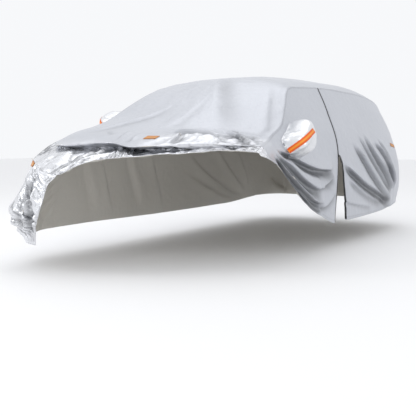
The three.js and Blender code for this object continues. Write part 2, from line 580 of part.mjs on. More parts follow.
function pocketParts(pocket, cloth) {
  const { along, down, sections_wide, share_high, depth, rearward, rise, droop } = pocket;
  const angles = steps(0, 2 * Math.PI, POD_SIDES).slice(0, -1);
  const rounded = (c) => Math.sign(c) * Math.abs(c) ** POD_ROUNDING.mouth;
  const mouth = angles.map((angle) => onFacets(cloth, along - sections_wide * rounded(Math.cos(angle)),
    down - share_high * rounded(Math.sin(angle)) * (1 - droop * Math.cos(angle))));
  const middle = mouth.reduce((s, m) => add(s, m.place, 1 / POD_SIDES), [0, 0, 0]);
  const out = unit(mouth.reduce((s, m) => add(s, m.normal), [0, 0, 0]));
  const lean = add(add([0, 0, 0], out, depth), [0, rearward, rise]);
  const pod = POD_RINGS.map((share) => {
    const angle = (share * Math.PI) / 2;
    const radius = Math.cos(angle) ** POD_ROUNDING.radius;
    const height = Math.sin(angle) ** POD_ROUNDING.height;
    return mouth.map((m) => add(add(middle, sub(m.place, middle), radius), lean, height));
  });
  const rings = [mouth.map((m) => m.place), mouth.map((m) => add(m.place, m.normal, POD_COLLAR)), ...pod];
  const facing = rings.map((ring, k) => ring.map((_, j) => {
    const round = sub(ring[(j + 1) % POD_SIDES], ring.at(j - 1));
    const up = sub(rings[Math.min(rings.length - 1, k + 1)][j], rings[Math.max(0, k - 1)][j]);
    return unit(cross(round, up)).map((c) => (cloth.turned ? -c : c));
  }));
  const offset = (distance, from = 0) =>
    rings.slice(from).map((ring, k) => ring.map((p, j) => add(p, facing[k + from][j], distance)));
  const foot = mouth.map((m) => add(m.place, m.normal, -CLOTH));
  const footInside = foot.map((p, j) => add(p, facing[0][j], -CLOTH));
  const shell = ringed([...offset(-CLOTH).reverse(), footInside, foot, ...rings], cloth.turned);
  const skin = ringed([...offset(SEAM_GAP, 1).reverse(), ...offset(SEAM_GAP + PATCH_THICK, 1)],
    cloth.turned);
  const rim = (height) =>
    mouth.map((m, j) => add(add(m.place, facing[0][j], SEAM_GAP), m.normal, height));
  const cap = (height) => mouth.map((m) => add(mix(middle, m.place, 0.5), out, height));
  const hole = ringed([cap(-MOUTH_CUT), ...[-POD_COLLAR, -CLOTH, 0, POD_COLLAR].map(rim),
    cap(MOUTH_CUT)], cloth.turned);
  return { shell, skin, hole };
}

const pods = {
  left: pocketParts(POCKETS.left, leftFront),
  right: pocketParts(POCKETS.right, right),
};
const withHole = (cloth, hole) => geometryFrom(solidOf(sheet(cloth)).subtract(solidOf(hole)));

// ---------- reflective strips ----------
// The part of a thin skin over a piece's outer face that lies inside the strip's outline.
const skinOf = (cloth) => sheet(cloth, SEAM_GAP + PATCH_THICK, PATCH_THICK);
const SKINS = {
  centre: skinOf(centre), left_rear: skinOf(leftRear), right: skinOf(right),
  pod_left: pods.left.skin, pod_right: pods.right.skin,
};
function stripOn({ on, at, along, facing, size }) {
  const outline = boxAt(at, [...size, STRIP_REACH], unit(along), unit(facing));
  return geometryFrom(solidOf(SKINS[on]).intersect(solidOf(outline)));
}

// ---------- the cover ----------
const coated = new THREE.MeshStandardMaterial({ color: 0xc3c6cc, roughness: 0.5, metalness: 0.35 });
const bright = new THREE.MeshStandardMaterial({ color: 0xdfe1e4, roughness: 0.35, metalness: 0.6 });
const orange = new THREE.MeshStandardMaterial({ color: 0xf0701a, roughness: 0.45, metalness: 0 });
const black = new THREE.MeshStandardMaterial({ color: 0x1b1c1e, roughness: 0.6, metalness: 0 });

const PIECES = [
  ["top_panel", sheet(centre), coated],
  ["side_panel_left_front", withHole(leftFront, pods.left.hole), coated],
  ["side_panel_left_rear", sheet(leftRear), coated],
  ["side_panel_right", withHole(right, pods.right.hole), coated],
  ["mirror_pocket_left", pods.left.shell, bright],
  ["mirror_pocket_right", pods.right.shell, bright],
  ["zip_closed", sheet(zipClosed), black],
  ["zip_tape_front", sheet(tapeFront), black],
  ["zip_tape_rear", sheet(tapeRear), black],
  ["zip_slider", slider, black],
  ...STRIPS.map((s) => [s.name, stripOn(s), orange]),
];

// The roof point over the middle of the cabin: the cloth rests on the roof just under it.
const roof = centrePoint(0, ZIP - 0.4);
const cover = new THREE.Group();
cover.position.set(0, -roof[1], CLOTH - roof[2]);
for (const [name, geometry, material] of PIECES) {
  const mesh = new THREE.Mesh(geometry, material);
  mesh.name = name;
  cover.add(mesh);
}

export default cover;
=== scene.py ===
"""A fitted car cover of silver coated cloth, cream inside, as it hangs on a compact hatchback with
its front left corner thrown back over the bonnet. Metres: +X is the car's left, -Y its front and +Z
up; the tables give y from the middle of the wheelbase and z from the ground."""
import math

import bmesh
import bpy
import numpy as np
from mathutils import Matrix, Vector, noise
from mathutils.bvhtree import BVHTree


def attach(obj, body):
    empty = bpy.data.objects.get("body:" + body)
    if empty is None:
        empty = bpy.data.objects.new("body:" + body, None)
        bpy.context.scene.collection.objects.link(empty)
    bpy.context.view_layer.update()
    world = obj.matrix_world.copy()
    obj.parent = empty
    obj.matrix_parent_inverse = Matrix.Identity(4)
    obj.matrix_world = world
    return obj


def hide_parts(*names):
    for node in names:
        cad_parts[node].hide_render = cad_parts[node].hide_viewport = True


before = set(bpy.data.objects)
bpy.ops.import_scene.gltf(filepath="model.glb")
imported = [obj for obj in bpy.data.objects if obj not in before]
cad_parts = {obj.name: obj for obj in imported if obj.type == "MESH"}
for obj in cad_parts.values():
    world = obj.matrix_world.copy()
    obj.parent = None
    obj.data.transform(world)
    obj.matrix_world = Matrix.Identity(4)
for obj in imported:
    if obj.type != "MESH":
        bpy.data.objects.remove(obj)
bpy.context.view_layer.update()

# ---------- driving dimensions ----------
CLOTH = 0.0022  # the cloth with its soft backing, as it carries the roof
SHEET = 0.0016  # the thickness that shows
ZIP_WIDTH = 0.018  # both tapes, closed
ZIP_OPEN_AT = 0.62  # share of the way down the side at which the zip parts
ZIP_OPEN_HEM = 0.9  # how far the rear half has moved back at the hem, in sections
ZIP_OPEN_OVER = 2  # sections behind the zip that the moved cloth is gathered over
ZIP_OPEN_CURVE = 0.8  # below 1, the gap is wide soon after it opens
ZIP_PARTS_OVER = 0.05  # share of the way down over which folds grow below the slider
HEM = 0.028  # depth of the turned hem
FAR = 9.0  # the distance to a seam or hem that a place doesn't have

# Knots across the centre panel, from its right seam (-1) to its left seam (+1), and down a side.
ACROSS = [-1, -0.8, -0.4, -0.2, 0.1, 0.45, 0.8, 1]
DOWN = [0, 0.27, 0.6, 1]

# ---------- sections from the tail hem to the foot of the windscreen ----------
# top: y, z over the middle. left: seam, upper, waist and hem, each x, y, z; the right mirrors it.
# crown: how flat the cloth lies before it rounds over.
BODY_SECTIONS = [
    dict(name="tail_hem", top=(2.140, 0.300), crown=2.4,
         left=[(0.620, 2.092, 0.302), (0.745, 2.045, 0.302), (0.845, 1.955, 0.298), (0.902, 1.800, 0.290)]),
    dict(name="bumper", top=(2.205, 0.620), crown=2.6,
         left=[(0.665, 2.150, 0.630), (0.800, 2.082, 0.600), (0.895, 1.925, 0.470), (0.925, 1.610, 0.272)]),
    dict(name="tailgate", top=(2.175, 0.930), crown=2.8,
         left=[(0.675, 2.108, 0.935), (0.812, 2.010, 0.850), (0.915, 1.830, 0.650), (0.934, 1.400, 0.256)]),
    dict(name="rear_screen", top=(2.075, 1.245), crown=3,
         left=[(0.668, 1.990, 1.200), (0.800, 1.885, 1.050), (0.915, 1.690, 0.760), (0.936, 1.190, 0.246)]),
    dict(name="spoiler", top=(1.930, 1.508), crown=3.2,
         left=[(0.664, 1.755, 1.390), (0.778, 1.660, 1.195), (0.916, 1.480, 0.820), (0.936, 0.985, 0.240)]),
    dict(name="roof_rear", top=(1.400, 1.588), crown=3.4,
         left=[(0.676, 1.270, 1.450), (0.782, 1.215, 1.235), (0.920, 1.090, 0.845), (0.936, 0.720, 0.236)]),
    dict(name="roof_middle", top=(0.800, 1.592), crown=3.4,
         left=[(0.684, 0.720, 1.466), (0.786, 0.700, 1.250), (0.922, 0.620, 0.850), (0.936, 0.385, 0.233)],
         right=[(0.684, 0.720, 1.474), (0.786, 0.700, 1.250),
                (0.922, 0.620, 0.850), (0.936, 0.385, 0.233)]),
    dict(name="zip", top=(0.180, 1.585), crown=3.3,
         left=[(0.682, 0.205, 1.464), (0.776, 0.222, 1.240), (0.918, 0.150, 0.880), (0.934, 0.074, 0.230)],
         right=[(0.686, 0.180, 1.492), (0.780, 0.200, 1.256),
                (0.918, 0.150, 0.880), (0.934, 0.074, 0.232)]),
    dict(name="roof_front", top=(-0.170, 1.568), crown=3.1,
         left=[(0.688, -0.170, 1.446), (0.782, -0.150, 1.226),
               (0.918, -0.160, 0.850), (0.934, -0.150, 0.296)],
         right=[(0.690, -0.290, 1.502), (0.786, -0.250, 1.256),
                (0.918, -0.230, 0.856), (0.936, -0.220, 0.232)]),
    dict(name="screen_top", top=(-0.410, 1.524), crown=2.8,
         left=[(0.694, -0.400, 1.418), (0.790, -0.400, 1.180),
               (0.916, -0.390, 0.850), (0.936, -0.360, 0.388)],
         right=[(0.708, -0.530, 1.436), (0.800, -0.500, 1.225),
                (0.918, -0.490, 0.856), (0.937, -0.480, 0.234)]),
    dict(name="screen_middle", top=(-0.690, 1.395), crown=2.5,
         left=[(0.752, -0.560, 1.262), (0.815, -0.560, 1.100),
               (0.914, -0.570, 0.830), (0.938, -0.540, 0.470)],
         right=[(0.744, -0.775, 1.318), (0.826, -0.740, 1.146),
                (0.918, -0.740, 0.850), (0.938, -0.720, 0.236)]),
    dict(name="screen_low", top=(-0.980, 1.225), crown=2.4,
         left=[(0.806, -0.715, 1.110), (0.850, -0.715, 1.010),
               (0.916, -0.720, 0.830), (0.938, -0.705, 0.580)],
         right=[(0.786, -1.005, 1.186), (0.852, -0.960, 1.055),
                (0.920, -0.930, 0.820), (0.938, -0.910, 0.238)]),
]

# ---------- sections over the bonnet, where the two sides differ throughout ----------
# across: x, y, z at each knot of ACROSS. right, left: the upper, waist and hem (or free edge) places.
BONNET_SECTIONS = [
    dict(name="cowl",
         across=[(-0.808, -1.195, 1.112), (-0.655, -1.240, 1.116), (-0.335, -1.262, 1.104),
                 (-0.165, -1.266, 1.092), (0.080, -1.250, 1.078), (0.370, -1.170, 1.060),
                 (0.620, -1.035, 1.048), (0.812, -0.880, 1.022)],
         right=[(-0.866, -1.150, 0.985), (-0.926, -1.110, 0.760), (-0.937, -1.100, 0.240)],
         left=[(0.856, -0.880, 0.960), (0.912, -0.880, 0.850), (0.938, -0.870, 0.712)]),
    dict(name="bonnet_rise",
         across=[(-0.822, -1.410, 1.058), (-0.668, -1.510, 1.046), (-0.340, -1.520, 1.030),
                 (-0.170, -1.530, 1.026), (0.070, -1.545, 1.018), (0.335, -1.490, 1.008),
                 (0.600, -1.230, 0.996), (0.838, -1.015, 0.968)],
         right=[(-0.872, -1.350, 0.940), (-0.931, -1.320, 0.740), (-0.938, -1.310, 0.238)],
         left=[(0.872, -1.010, 0.930), (0.912, -1.010, 0.864), (0.936, -1.005, 0.782)]),
    dict(name="fold_edge",
         across=[(-0.824, -1.610, 0.984), (-0.655, -1.790, 0.950), (-0.335, -1.655, 0.962),
                 (-0.180, -1.650, 0.960), (0.085, -1.752, 0.934), (0.345, -1.690, 0.940),
                 (0.625, -1.405, 0.948), (0.852, -1.110, 0.938)],
         right=[(-0.880, -1.560, 0.884), (-0.934, -1.540, 0.700), (-0.938, -1.530, 0.236)],
         left=[(0.880, -1.110, 0.912), (0.910, -1.112, 0.868), (0.932, -1.110, 0.822)]),
    dict(name="tuck",
         across=[(-0.822, -1.672, 0.962), (-0.645, -1.712, 0.924), (-0.325, -1.560, 0.920),
                 (-0.165, -1.545, 0.918), (0.080, -1.590, 0.914), (0.350, -1.535, 0.914),
                 (0.610, -1.340, 0.924), (0.858, -1.140, 0.926)],
         right=[(-0.882, -1.640, 0.862), (-0.932, -1.620, 0.690), (-0.936, -1.610, 0.234)],
         left=[(0.884, -1.140, 0.902), (0.908, -1.142, 0.870), (0.928, -1.140, 0.836)]),
    dict(name="under_layer",
         across=[(-0.812, -1.760, 0.926), (-0.640, -1.870, 0.884), (-0.320, -1.835, 0.868),
                 (-0.170, -1.765, 0.874), (0.070, -1.710, 0.882), (0.335, -1.620, 0.888),
                 (0.612, -1.385, 0.905), (0.862, -1.172, 0.912)],
         right=[(-0.878, -1.765, 0.830), (-0.930, -1.755, 0.640), (-0.932, -1.740, 0.230)],
         left=[(0.886, -1.172, 0.892), (0.905, -1.175, 0.870), (0.922, -1.176, 0.848)]),
    dict(name="free_edge",
         across=[(-0.762, -1.930, 0.850), (-0.610, -2.045, 0.796), (-0.304, -2.120, 0.726),
                 (-0.165, -1.955, 0.820), (0.120, -1.835, 0.858), (0.440, -1.600, 0.884),
                 (0.700, -1.330, 0.898), (0.868, -1.222, 0.888)],
         right=[(-0.785, -1.995, 0.700), (-0.842, -2.110, 0.405), (-0.800, -2.012, 0.212)],
         left=[(0.888, -1.228, 0.880), (0.901, -1.232, 0.871), (0.912, -1.238, 0.862)]),
]

# The right panel goes on round the front corner, below the centre panel's last section.
CORNER_END = -0.4  # the knot across the cover at which it ends
CORNER_BEFORE = -1.35  # and a knot for the section before the corner
CORNER_COLUMNS = [
    (-0.8, [(-0.622, -2.122, 0.690), (-0.640, -2.196, 0.440), (-0.622, -2.150, 0.204)]),
    (CORNER_END, [(-0.335, -2.188, 0.640), (-0.388, -2.222, 0.420), (-0.474, -2.196, 0.200)]),
]
CROWN_BACK = 0.8  # below 1, a section's sides swing back sooner than they drop

# ---------- rows and columns of the fine sheets ----------
PITCH = dict(centre_rear=0.050, centre_front=0.0112, left=0.0115, right_rear=0.030, right_front=0.012)
COLUMNS = dict(centre=140, left_rear=184, left_front=174, right=116, corner=52)
CROWD = 0.25  # how much closer the centre panel's columns lie in its left half

# ---------- mirror pockets ----------
POCKETS = {
    "left": dict(along=10.68, down=0.37, sections_wide=1.0, share_high=0.18, droop=0.2,
                 depth=0.205, lean=(0, 0.004, 0.006)),
    "right": dict(along=10.45, down=0.27, sections_wide=0.55, share_high=0.17, droop=0.1,
                  depth=0.190, lean=(0, 0, 0)),
}
POD_ROUNDING = dict(mouth=0.8, radius=0.5, height=0.85)  # below 1, squarer than an ellipse
# How far a pocket starts behind the panel's face, its straight collar, and how far up it is stitched.
POD_TUCK, POD_COLLAR, POD_STITCH = 0.003, 0.009, 0.014
POD_SIDES, POD_RINGS = 108, 60
POD_INSET = 0.94  # share of the mouth's size that is cut from the panel

# ---------- the main folds ----------
# axes: the two that a table's places are in. fade: shares of its length over which a fold rises and
# dies. Each fold has its height, its width, the side that its hollow lies on, how far its crest hangs
# over the hollow in heights, and the line of its crest.
FOLDS = {
    "left_front": dict(axes=(1, 2), fade=(0.13, 0.16), folds=[
        (0.043, 0.038, -1, 0.9,
         [(-0.975, 0.925), (-0.79, 0.893), (-0.60, 0.835), (-0.32, 0.780), (0.05, 0.757)]),
        (0.038, 0.036, -1, 0.8,
         [(-1.01, 0.905), (-0.84, 0.820), (-0.62, 0.710), (-0.40, 0.628), (-0.19, 0.585)]),
        (0.043, 0.034, -1, 0.9,
         [(-1.04, 0.885), (-0.86, 0.765), (-0.66, 0.640), (-0.43, 0.530), (-0.16, 0.455)]),
        (0.024, 0.021, -1, 0.5, [(-0.66, 0.590), (-0.50, 0.500), (-0.34, 0.420), (-0.20, 0.370)]),
        (0.014, 0.025, 1, 0.3, [(-0.90, 0.860), (-0.70, 0.760), (-0.48, 0.690), (-0.24, 0.650)]),
        (0.012, 0.021, 1, 0.3, [(-0.84, 0.735), (-0.62, 0.610), (-0.42, 0.520)]),
        (0.030, 0.036, -1, 0.6, [(-0.30, 0.608), (-0.18, 0.618), (-0.06, 0.652), (0.03, 0.700)]),
        (0.030, 0.036, -1, 0.6, [(-0.26, 0.415), (-0.14, 0.440), (-0.04, 0.500), (0.01, 0.560)]),
    ]),
    "left_rear": dict(axes=(1, 2), fade=(0.20, 0.16), folds=[
        (0.041, 0.044, -1, 0.7,
         [(0.23, 0.800), (0.50, 0.690), (0.76, 0.590), (1.02, 0.515), (1.34, 0.425), (1.62, 0.335)]),
        (0.030, 0.037, -1, 0.5,
         [(0.52, 0.985), (0.70, 0.865), (0.85, 0.760), (1.02, 0.650), (1.25, 0.520), (1.55, 0.385)]),
        (0.032, 0.034, -1, 0.6,
         [(0.88, 1.065), (0.98, 0.945), (1.16, 0.800), (1.40, 0.640), (1.60, 0.430)]),
        (0.030, 0.029, -1, 0.6,
         [(1.12, 0.985), (1.36, 0.865), (1.52, 0.740), (1.63, 0.600), (1.69, 0.430)]),
        (0.016, 0.025, 1, 0.2, [(1.02, 0.960), (1.22, 0.770), (1.44, 0.590), (1.58, 0.440)]),
        (0.022, 0.024, -1, 0.5,
         [(0.72, 1.060), (0.84, 0.930), (1.02, 0.790), (1.28, 0.620), (1.56, 0.430)]),
        (0.018, 0.022, -1, 0.5, [(1.24, 1.020), (1.44, 0.860), (1.58, 0.680), (1.66, 0.480)]),
        (0.016, 0.031, -1, 0.3, [(0.34, 0.640), (0.60, 0.530), (0.90, 0.430), (1.30, 0.350)]),
        (0.009, 0.025, -1, 0.2, [(0.28, 0.420), (0.60, 0.370), (1.00, 0.320)]),
    ]),
    "right": dict(axes=(1, 2), fade=(0.45, 0.35), folds=[
        (0.024, 0.070, 1, 0.3, [(-1.30, 1.00), (-1.20, 0.62), (-1.14, 0.24)]),
        (0.016, 0.050, -1, 0.3, [(-1.02, 0.98), (-0.90, 0.62), (-0.80, 0.26)]),
        (0.020, 0.065, 1, 0.3, [(-0.72, 1.02), (-0.58, 0.62), (-0.46, 0.25)]),
        (0.014, 0.060, -1, 0.3, [(-0.28, 0.92), (-0.12, 0.55), (-0.02, 0.25)]),
        (0.030, 0.075, -1, 0.5, [(0.20, 1.00), (0.62, 0.74), (1.10, 0.50), (1.66, 0.30)]),
        (0.026, 0.060, -1, 0.5, [(0.74, 1.14), (1.02, 0.88), (1.34, 0.62), (1.66, 0.36)]),
        (0.020, 0.055, -1, 0.4, [(0.30, 0.66), (0.72, 0.50), (1.10, 0.36), (1.50, 0.27)]),
        (0.018, 0.045, -1, 0.4, [(1.24, 1.06), (1.44, 0.84), (1.62, 0.60), (1.70, 0.38)]),
    ]),
    "corner": dict(axes=(0, 2), fade=(0.30, 0.30), folds=[
        (0.026, 0.042, 1, 0.5, [(-0.56, 0.80), (-0.60, 0.60), (-0.56, 0.38), (-0.64, 0.25)]),
        (0.020, 0.036, -1, 0.4, [(-0.42, 0.72), (-0.47, 0.56), (-0.43, 0.40), (-0.52, 0.24)]),
        (0.026, 0.040, -1, 0.5, [(-0.82, 0.52), (-0.72, 0.43), (-0.56, 0.40)]),
        (0.018, 0.030, 1, 0.4, [(-0.74, 0.66), (-0.66, 0.50), (-0.70, 0.30)]),
        (0.014, 0.024, -1, 0.3, [(-0.50, 0.60), (-0.56, 0.50), (-0.52, 0.34)]),
    ]),
    "centre": dict(axes=(0, 1), fade=(0.35, 0.35), folds=[
        (0.013, 0.085, 1, 0.1,
         [(-0.10, -0.30), (0.10, -0.64), (0.27, -0.93), (0.40, -1.12), (0.48, -1.24)]),
        (0.009, 0.060, 1, 0.2,
         [(-0.14, -0.78), (-0.31, -1.02), (-0.50, -1.20), (-0.64, -1.44), (-0.66, -1.62)]),
        (0.005, 0.050, 1, 0.2, [(0.10, -0.80), (0.06, -1.06), (-0.02, -1.30)]),
        (0.026, 0.034, -1, 0.5, [(0.10, -1.34), (0.34, -1.26), (0.49, -1.22), (0.60, -1.27)]),
        (0.032, 0.032, 1, 0.6, [(0.24, -1.56), (0.40, -1.44), (0.56, -1.36), (0.70, -1.34)]),
        (0.027, 0.026, -1, 0.7, [(0.50, -1.12), (0.64, -1.12), (0.76, -1.13), (0.84, -1.12)]),
        (0.005, 0.045, 1, 0.2,
         [(0.50, -0.40), (0.64, -0.68), (0.73, -0.90), (0.72, -1.04), (0.62, -1.14)]),
        (0.009, 0.020, -1, 0.5,
         [(0.79, -0.62), (0.80, -0.82), (0.77, -0.98), (0.66, -1.06), (0.50, -1.10)]),
        (0.012, 0.020, 1, 0.5, [(0.83, -0.98), (0.74, -1.06), (0.60, -1.16), (0.46, -1.30)]),
        (0.014, 0.022, -1, 0.5, [(0.81, -1.06), (0.66, -1.22), (0.44, -1.50)]),
        (0.016, 0.022, 1, 0.5, [(0.26, -1.34), (0.34, -1.50), (0.33, -1.66)]),
        (0.015, 0.024, -1, 0.5, [(0.02, -1.42), (0.00, -1.56), (0.06, -1.70)]),
        (0.009, 0.028, 1, 0.3, [(-0.46, -1.42), (-0.38, -1.52), (-0.30, -1.58)]),
        (0.010, 0.022, -1, 0.4, [(-0.22, -1.36), (-0.16, -1.50), (-0.12, -1.66)]),
    ]),
}
FOLD_REACH = (6, 0.2)  # how far off its line a fold is worked out: in widths, and then in metres
FOLD_FACING = 0.4  # folds die out where the form turns this far away from their table's axes
SEAM_FADE = 0.10  # share of the way down over which folds grow from a seam
ZIP_FADE, EDGE_FADE = 1.5, (0.3, 3)  # and how fast from the closed zip, and from the open one
CREST_STEEP, CREST_GENTLE = 0.75, 1.3  # a crest's widths towards its hollow and away from it
FOLD_OPENS = (0.55, 0.75)  # its width at its start, and what it gains by its end, in widths
HOLLOW_OFF, HOLLOW_DEEP = 1.25, 0.8  # how far off its crest, in widths, and how deep, in heights
HOLLOW_STEEP, HOLLOW_GENTLE = 0.65, 1.25  # its widths beside the crest and away from it
FOLD_PIECES = 28  # straight pieces of its crest line
SHADE_DEEP = 0.030  # depth of a hollow whose colour takes the full painted shade

# ---------- wrinkles ----------
NOISE_SEED = 7
NEARBY = 1e-3  # a small step in stations, to see which way the form faces
SAG, SAG_SCALE, SAG_OCTAVES, WAVE_FALL = 0.004, 0.45, 3, 0.9  # wide soft waves of the smooth cloth
CRINKLE, CRINKLE_SCALE = 0.0042, 0.095  # and its small facets
CRINKLE_FLAT, CRINKLE_LOW = 0.45, 0.2  # where its facets are cut off, and their middle level
# Crushed cloth: the height of a layer of creases, the size of its facets across and along, its turn.
CRUSH = [(0.020, 0.36, 0.11, 0.2), (0.012, 0.20, 0.065, -0.35), (0.003, 0.08, 0.040, 0.6)]
CREASE_WARP, CREASE_NET = 0.16, 48  # how much their net is bent, and its corners before it repeats
CREASE_HEM, CREASE_LEFT = 0.07, 0.2  # creases die down this near a hem, to this share
VALLEY_BEND = 0.004  # a valley this sharp, from one place to the next, takes the full painted shade
# Pleats in the turned under layer: the section they start at, and where they lie across.
PLEATS = dict(height=0.017, per_metre=17, first=14.9, over=0.5, middle=-0.05, half=0.36, sway=0.8,
              slant=0.5)
FACET_WARP, FACET_WARP_SCALE = 0.5, 0.7  # how much the facets' creases are bent
GATHER, GATHER_UP = 0.0045, 0.08  # ruffles along an elastic hem, and how far up they reach
GATHER_SOFT = 0.35  # their share where the cloth isn't crushed
GATHER_EDGE, GATHER_LEFT = 0.004, 0.3  # they are lower over this much of the hem's edge
# Two waves' shares and radians in a section, and how far and how often the first wanders.
RUFFLES = ((0.6, 30), (0.4, 53), (2.2, 7))
SEAM_CALM = 0.022  # wrinkles die out this near a seam
HEM_LIFT, HEM_STEP = 0.0012, 0.008  # how far the turned hem stands out, and the slope beside it
# Where the cloth is crushed: all of it past a section, ahead of the axles' middle where it lies to the
# right and low, and partly where it is gathered at the foot of the windscreen, to the left.
FOIL = dict(section=14.2, section_over=0.6, ahead=1.35, ahead_over=0.50, right=0.15, right_over=0.5,
            below=1.02, below_over=0.14, foot=12.35, foot_over=0.7, left=0.02, left_over=0.30,
            side=0.9, side_over=0.1, partly=0.62)
# The rear half's edge beside the parted zip curls in.
CURL = dict(depth=0.024, reach=0.070, below=0.66, over=0.14)
ZIP_BESIDE = 0.3  # sections beside the zip whose rows make way for it

# ---------- strips, zip and finish ----------
# Where a strip lies: on which piece, its middle, the way it runs, the way it faces and its size.
STRIPS = [
    dict(name="headlamp_strip_left", on="centre", at=(0.158, -1.580, 0.992), along=(1, 0.16, 0),
         facing=(0, -0.5, 1), size=(0.106, 0.078)),
    dict(name="headlamp_strip_right", on="right", at=(-0.722, -1.978, 0.792), along=(-0.72, 0.66, -0.1),
         facing=(-0.4, -0.45, 0.8), size=(0.165, 0.040)),
    dict(name="mirror_strip_left", on="pod_left", at=(0.998, -0.766, 0.968), along=(0.42, 0.62, 0.55),
         facing=(0.6, -0.8, 0), size=(0.292, 0.042)),
    dict(name="mirror_strip_right", on="pod_right", at=(-0.945, -0.955, 1.128), along=(-0.42, 0.62, 0.55),
         facing=(-0.6, -0.8, 0), size=(0.260, 0.040)),
    dict(name="tail_strip_left", on="left_rear", at=(0.900, 1.745, 0.925), along=(-0.4, 0.9, -0.12),
         facing=(0.9, 0.4, 0), size=(0.170, 0.034)),
    dict(name="tail_strip_right", on="right", at=(-0.900, 1.745, 0.925), along=(0.4, 0.9, -0.12),
         facing=(-0.9, 0.4, 0), size=(0.170, 0.034)),
]
# The pitch of a strip's places, how far off its cloth is looked for, its gap to it, and its thickness.
STRIP_PITCH, STRIP_REACH, STRIP_OFF, STRIP_THICK = 0.004, 0.11, 0.0022, 0.0009
STRIP_SMOOTHINGS, STRIP_STAND = 3, 0.0008  # stiffer than the cloth, it stands off smaller wrinkles
TAPE_CALM, TAPE_HOLD, TAPE_FADE = 0.03, 0.9, 1.4  # the cloth lies flatter under a tape and near it
POD_CRUSH = [(0.007, 0.13, 0.10, 1.2), (0.003, 0.06, 0.05, 3.3)]  # a mirror pocket's creases, as in CRUSH
POD_SLANT = np.array([0.4, 0.3])  # its creases go this much further on and up for each metre out
POD_PULL = dict(height=0.004, up=0.3, around=9, uneven=3)  # short pleats round its mouth
POD_CALM, POD_TOP, POD_TOP_OVER = 0.08, 0.9, 0.1  # shares of the way up where it is drawn smooth
POD_FOIL = 0.6

# A tape's thickness, how far it goes under the cloth, its gap to the cloth, and the closed zip's arch.
ZIP_TAPE_THICK, TAPE_UNDER, TAPE_CLEAR, ZIP_RISE = 0.0009, 0.004, 0.0013, 0.0012
TAPE_OVER = (0.016, 0.011, 0.0055, 0.0)  # where the rear tape lies over the cloth, in from its edge
ZIP_LINES = (0.0, 0.25, 0.5, 0.75, 1.0)  # where its closed tapes have rows of places, rear to front
# Shares of the way down: the zip's top, its foot, how far below the parting the parted tapes start,
# and the stretch that gives the slider its direction.
ZIP_TOP, ZIP_FOOT, ZIP_GAP, SLIDER_OVER = 0.002, 0.995, 0.004, 0.02
CLOSED_ROWS, PARTED_ROWS = 240, 150
SLIDER_ROUND = 0.35  # its edges' rounding, as a share of each part's thinnest side
TOOTH, TOOTH_PITCH = (0.0046, 0.0013, 0.0016), 0.0021  # across, along and out
# size and place, in the slider's own axes: across, down and out
SLIDER_PARTS = [((0.011, 0.022, 0.007), (0, 0.011, 0.002)), ((0.004, 0.010, 0.003), (0, 0.010, 0.0065)),
                ((0.008, 0.034, 0.002), (0, 0.030, 0.0082))]

SEAM_STITCH, HEM_STITCH = 0.007, HEM - 0.004  # how far in from a seam, and from a hem's edge
STITCH, STITCH_WIDE, WEAVE = 0.007, 0.006, 0.0035  # a stitch's pitch and width, and the weave's squares
STITCH_GAP = -0.2  # of a sine wave along the seam: a stitch lies where it is higher
STITCH_DARK, STITCH_DEEP, STITCH_TONE = 0.35, 0.4, (0.16, 0.165, 0.18, 1)
# The metal and roughness of smooth and of crushed cloth, and how uneven its roughness is.
CLOTH_METAL, CLOTH_ROUGH, ROUGH_UNEVEN = (0.62, 0.90), (0.43, 0.26), 0.14
SHADE_SHARE, SHADE_TONE = 0.76, (0.19, 0.195, 0.205, 1)  # painted shade: how far the colour goes to this dark tone in a hollow that is in full shade
MOTTLE = (-0.35, 0.75)  # how plain the coat is, at the least and the most of the clouds
# Tilted facets: how much they lean, the noise that bends their edges and by how much, and their number.
FACET_LEAN, FACET_DRIFT, FACETS_A_METRE = 200.0, (7.0, 2.0, 0.05), 17.0
SOFT_DENTS, DENTS, THREADS = 5.0, 1.6, 0.05  # heights, in the cloth's own bump
# Scale and detail of the noise in each finish.
CLOUDS, FIBRES, DENT_NOISE, SOFT_NOISE = (2.2, 4.0), (90.0, 2.0), (38.0, 4.0), (13.0, 3.0)
FELT, SCUFFS, BEADS, RIBS = (240.0, 5.0), (500.0, 4.0), 420.0, 260.0
# Strength and depth of each bump.
CLOTH_BUMP, LINING_BUMP, BEAD_BUMP, RIB_BUMP = (0.55, 0.0022), (0.5, 0.0012), (0.35, 0.0006), (0.5, 0.0004)
BAND_FROM, BAND_TO = 0.13, 0.19  # where a tape's pale band ends, from its middle, in widths
LINING_TONES = (0.50, 0.475, 0.43, 1), (0.72, 0.70, 0.65, 1)
TAPE_TONES = (0.012, 0.012, 0.014, 1), (0.032, 0.032, 0.035, 1)

WORLD_LIGHT, WORLD_TONE = 0.96, (0.97, 0.98, 1.0, 1)
# name, place, what it faces, size and power
LAMPS = [
    ("key", (2.5, -7.5, 4.2), (0.0, -0.8, -0.4), (3.0, 2.5), 60),
    ("top", (-0.5, 0.0, 5.0), (0, 0, 0), (5.0, 6.0), 70),
    ("side", (-5.0, -5.5, 2.2), (-0.6, -2.0, -0.9), (1.0, 3.0), 60),
]
FLOOR_TONE = (0.90, 0.90, 0.905, 1)
FLOOR_ROUGH, FLOOR_SIZE = 0.75, 60
EYE = (3.331, -5.8476, -0.6254)
VIEW = (35.0, 5.14, -0.153)  # azimuth, elevation and roll
LENS, SENSOR, FRAMING = 56.60, 36, (0.0121, -0.0158)
FAR_OFF = 200


# ---------- curves and grids ----------
def smooth(share):
    share = np.clip(share, 0, 1)
    return share * share * (3 - 2 * share)


def unit(vectors):
    return vectors / np.maximum(np.linalg.norm(vectors, axis=-1, keepdims=True), 1e-12)


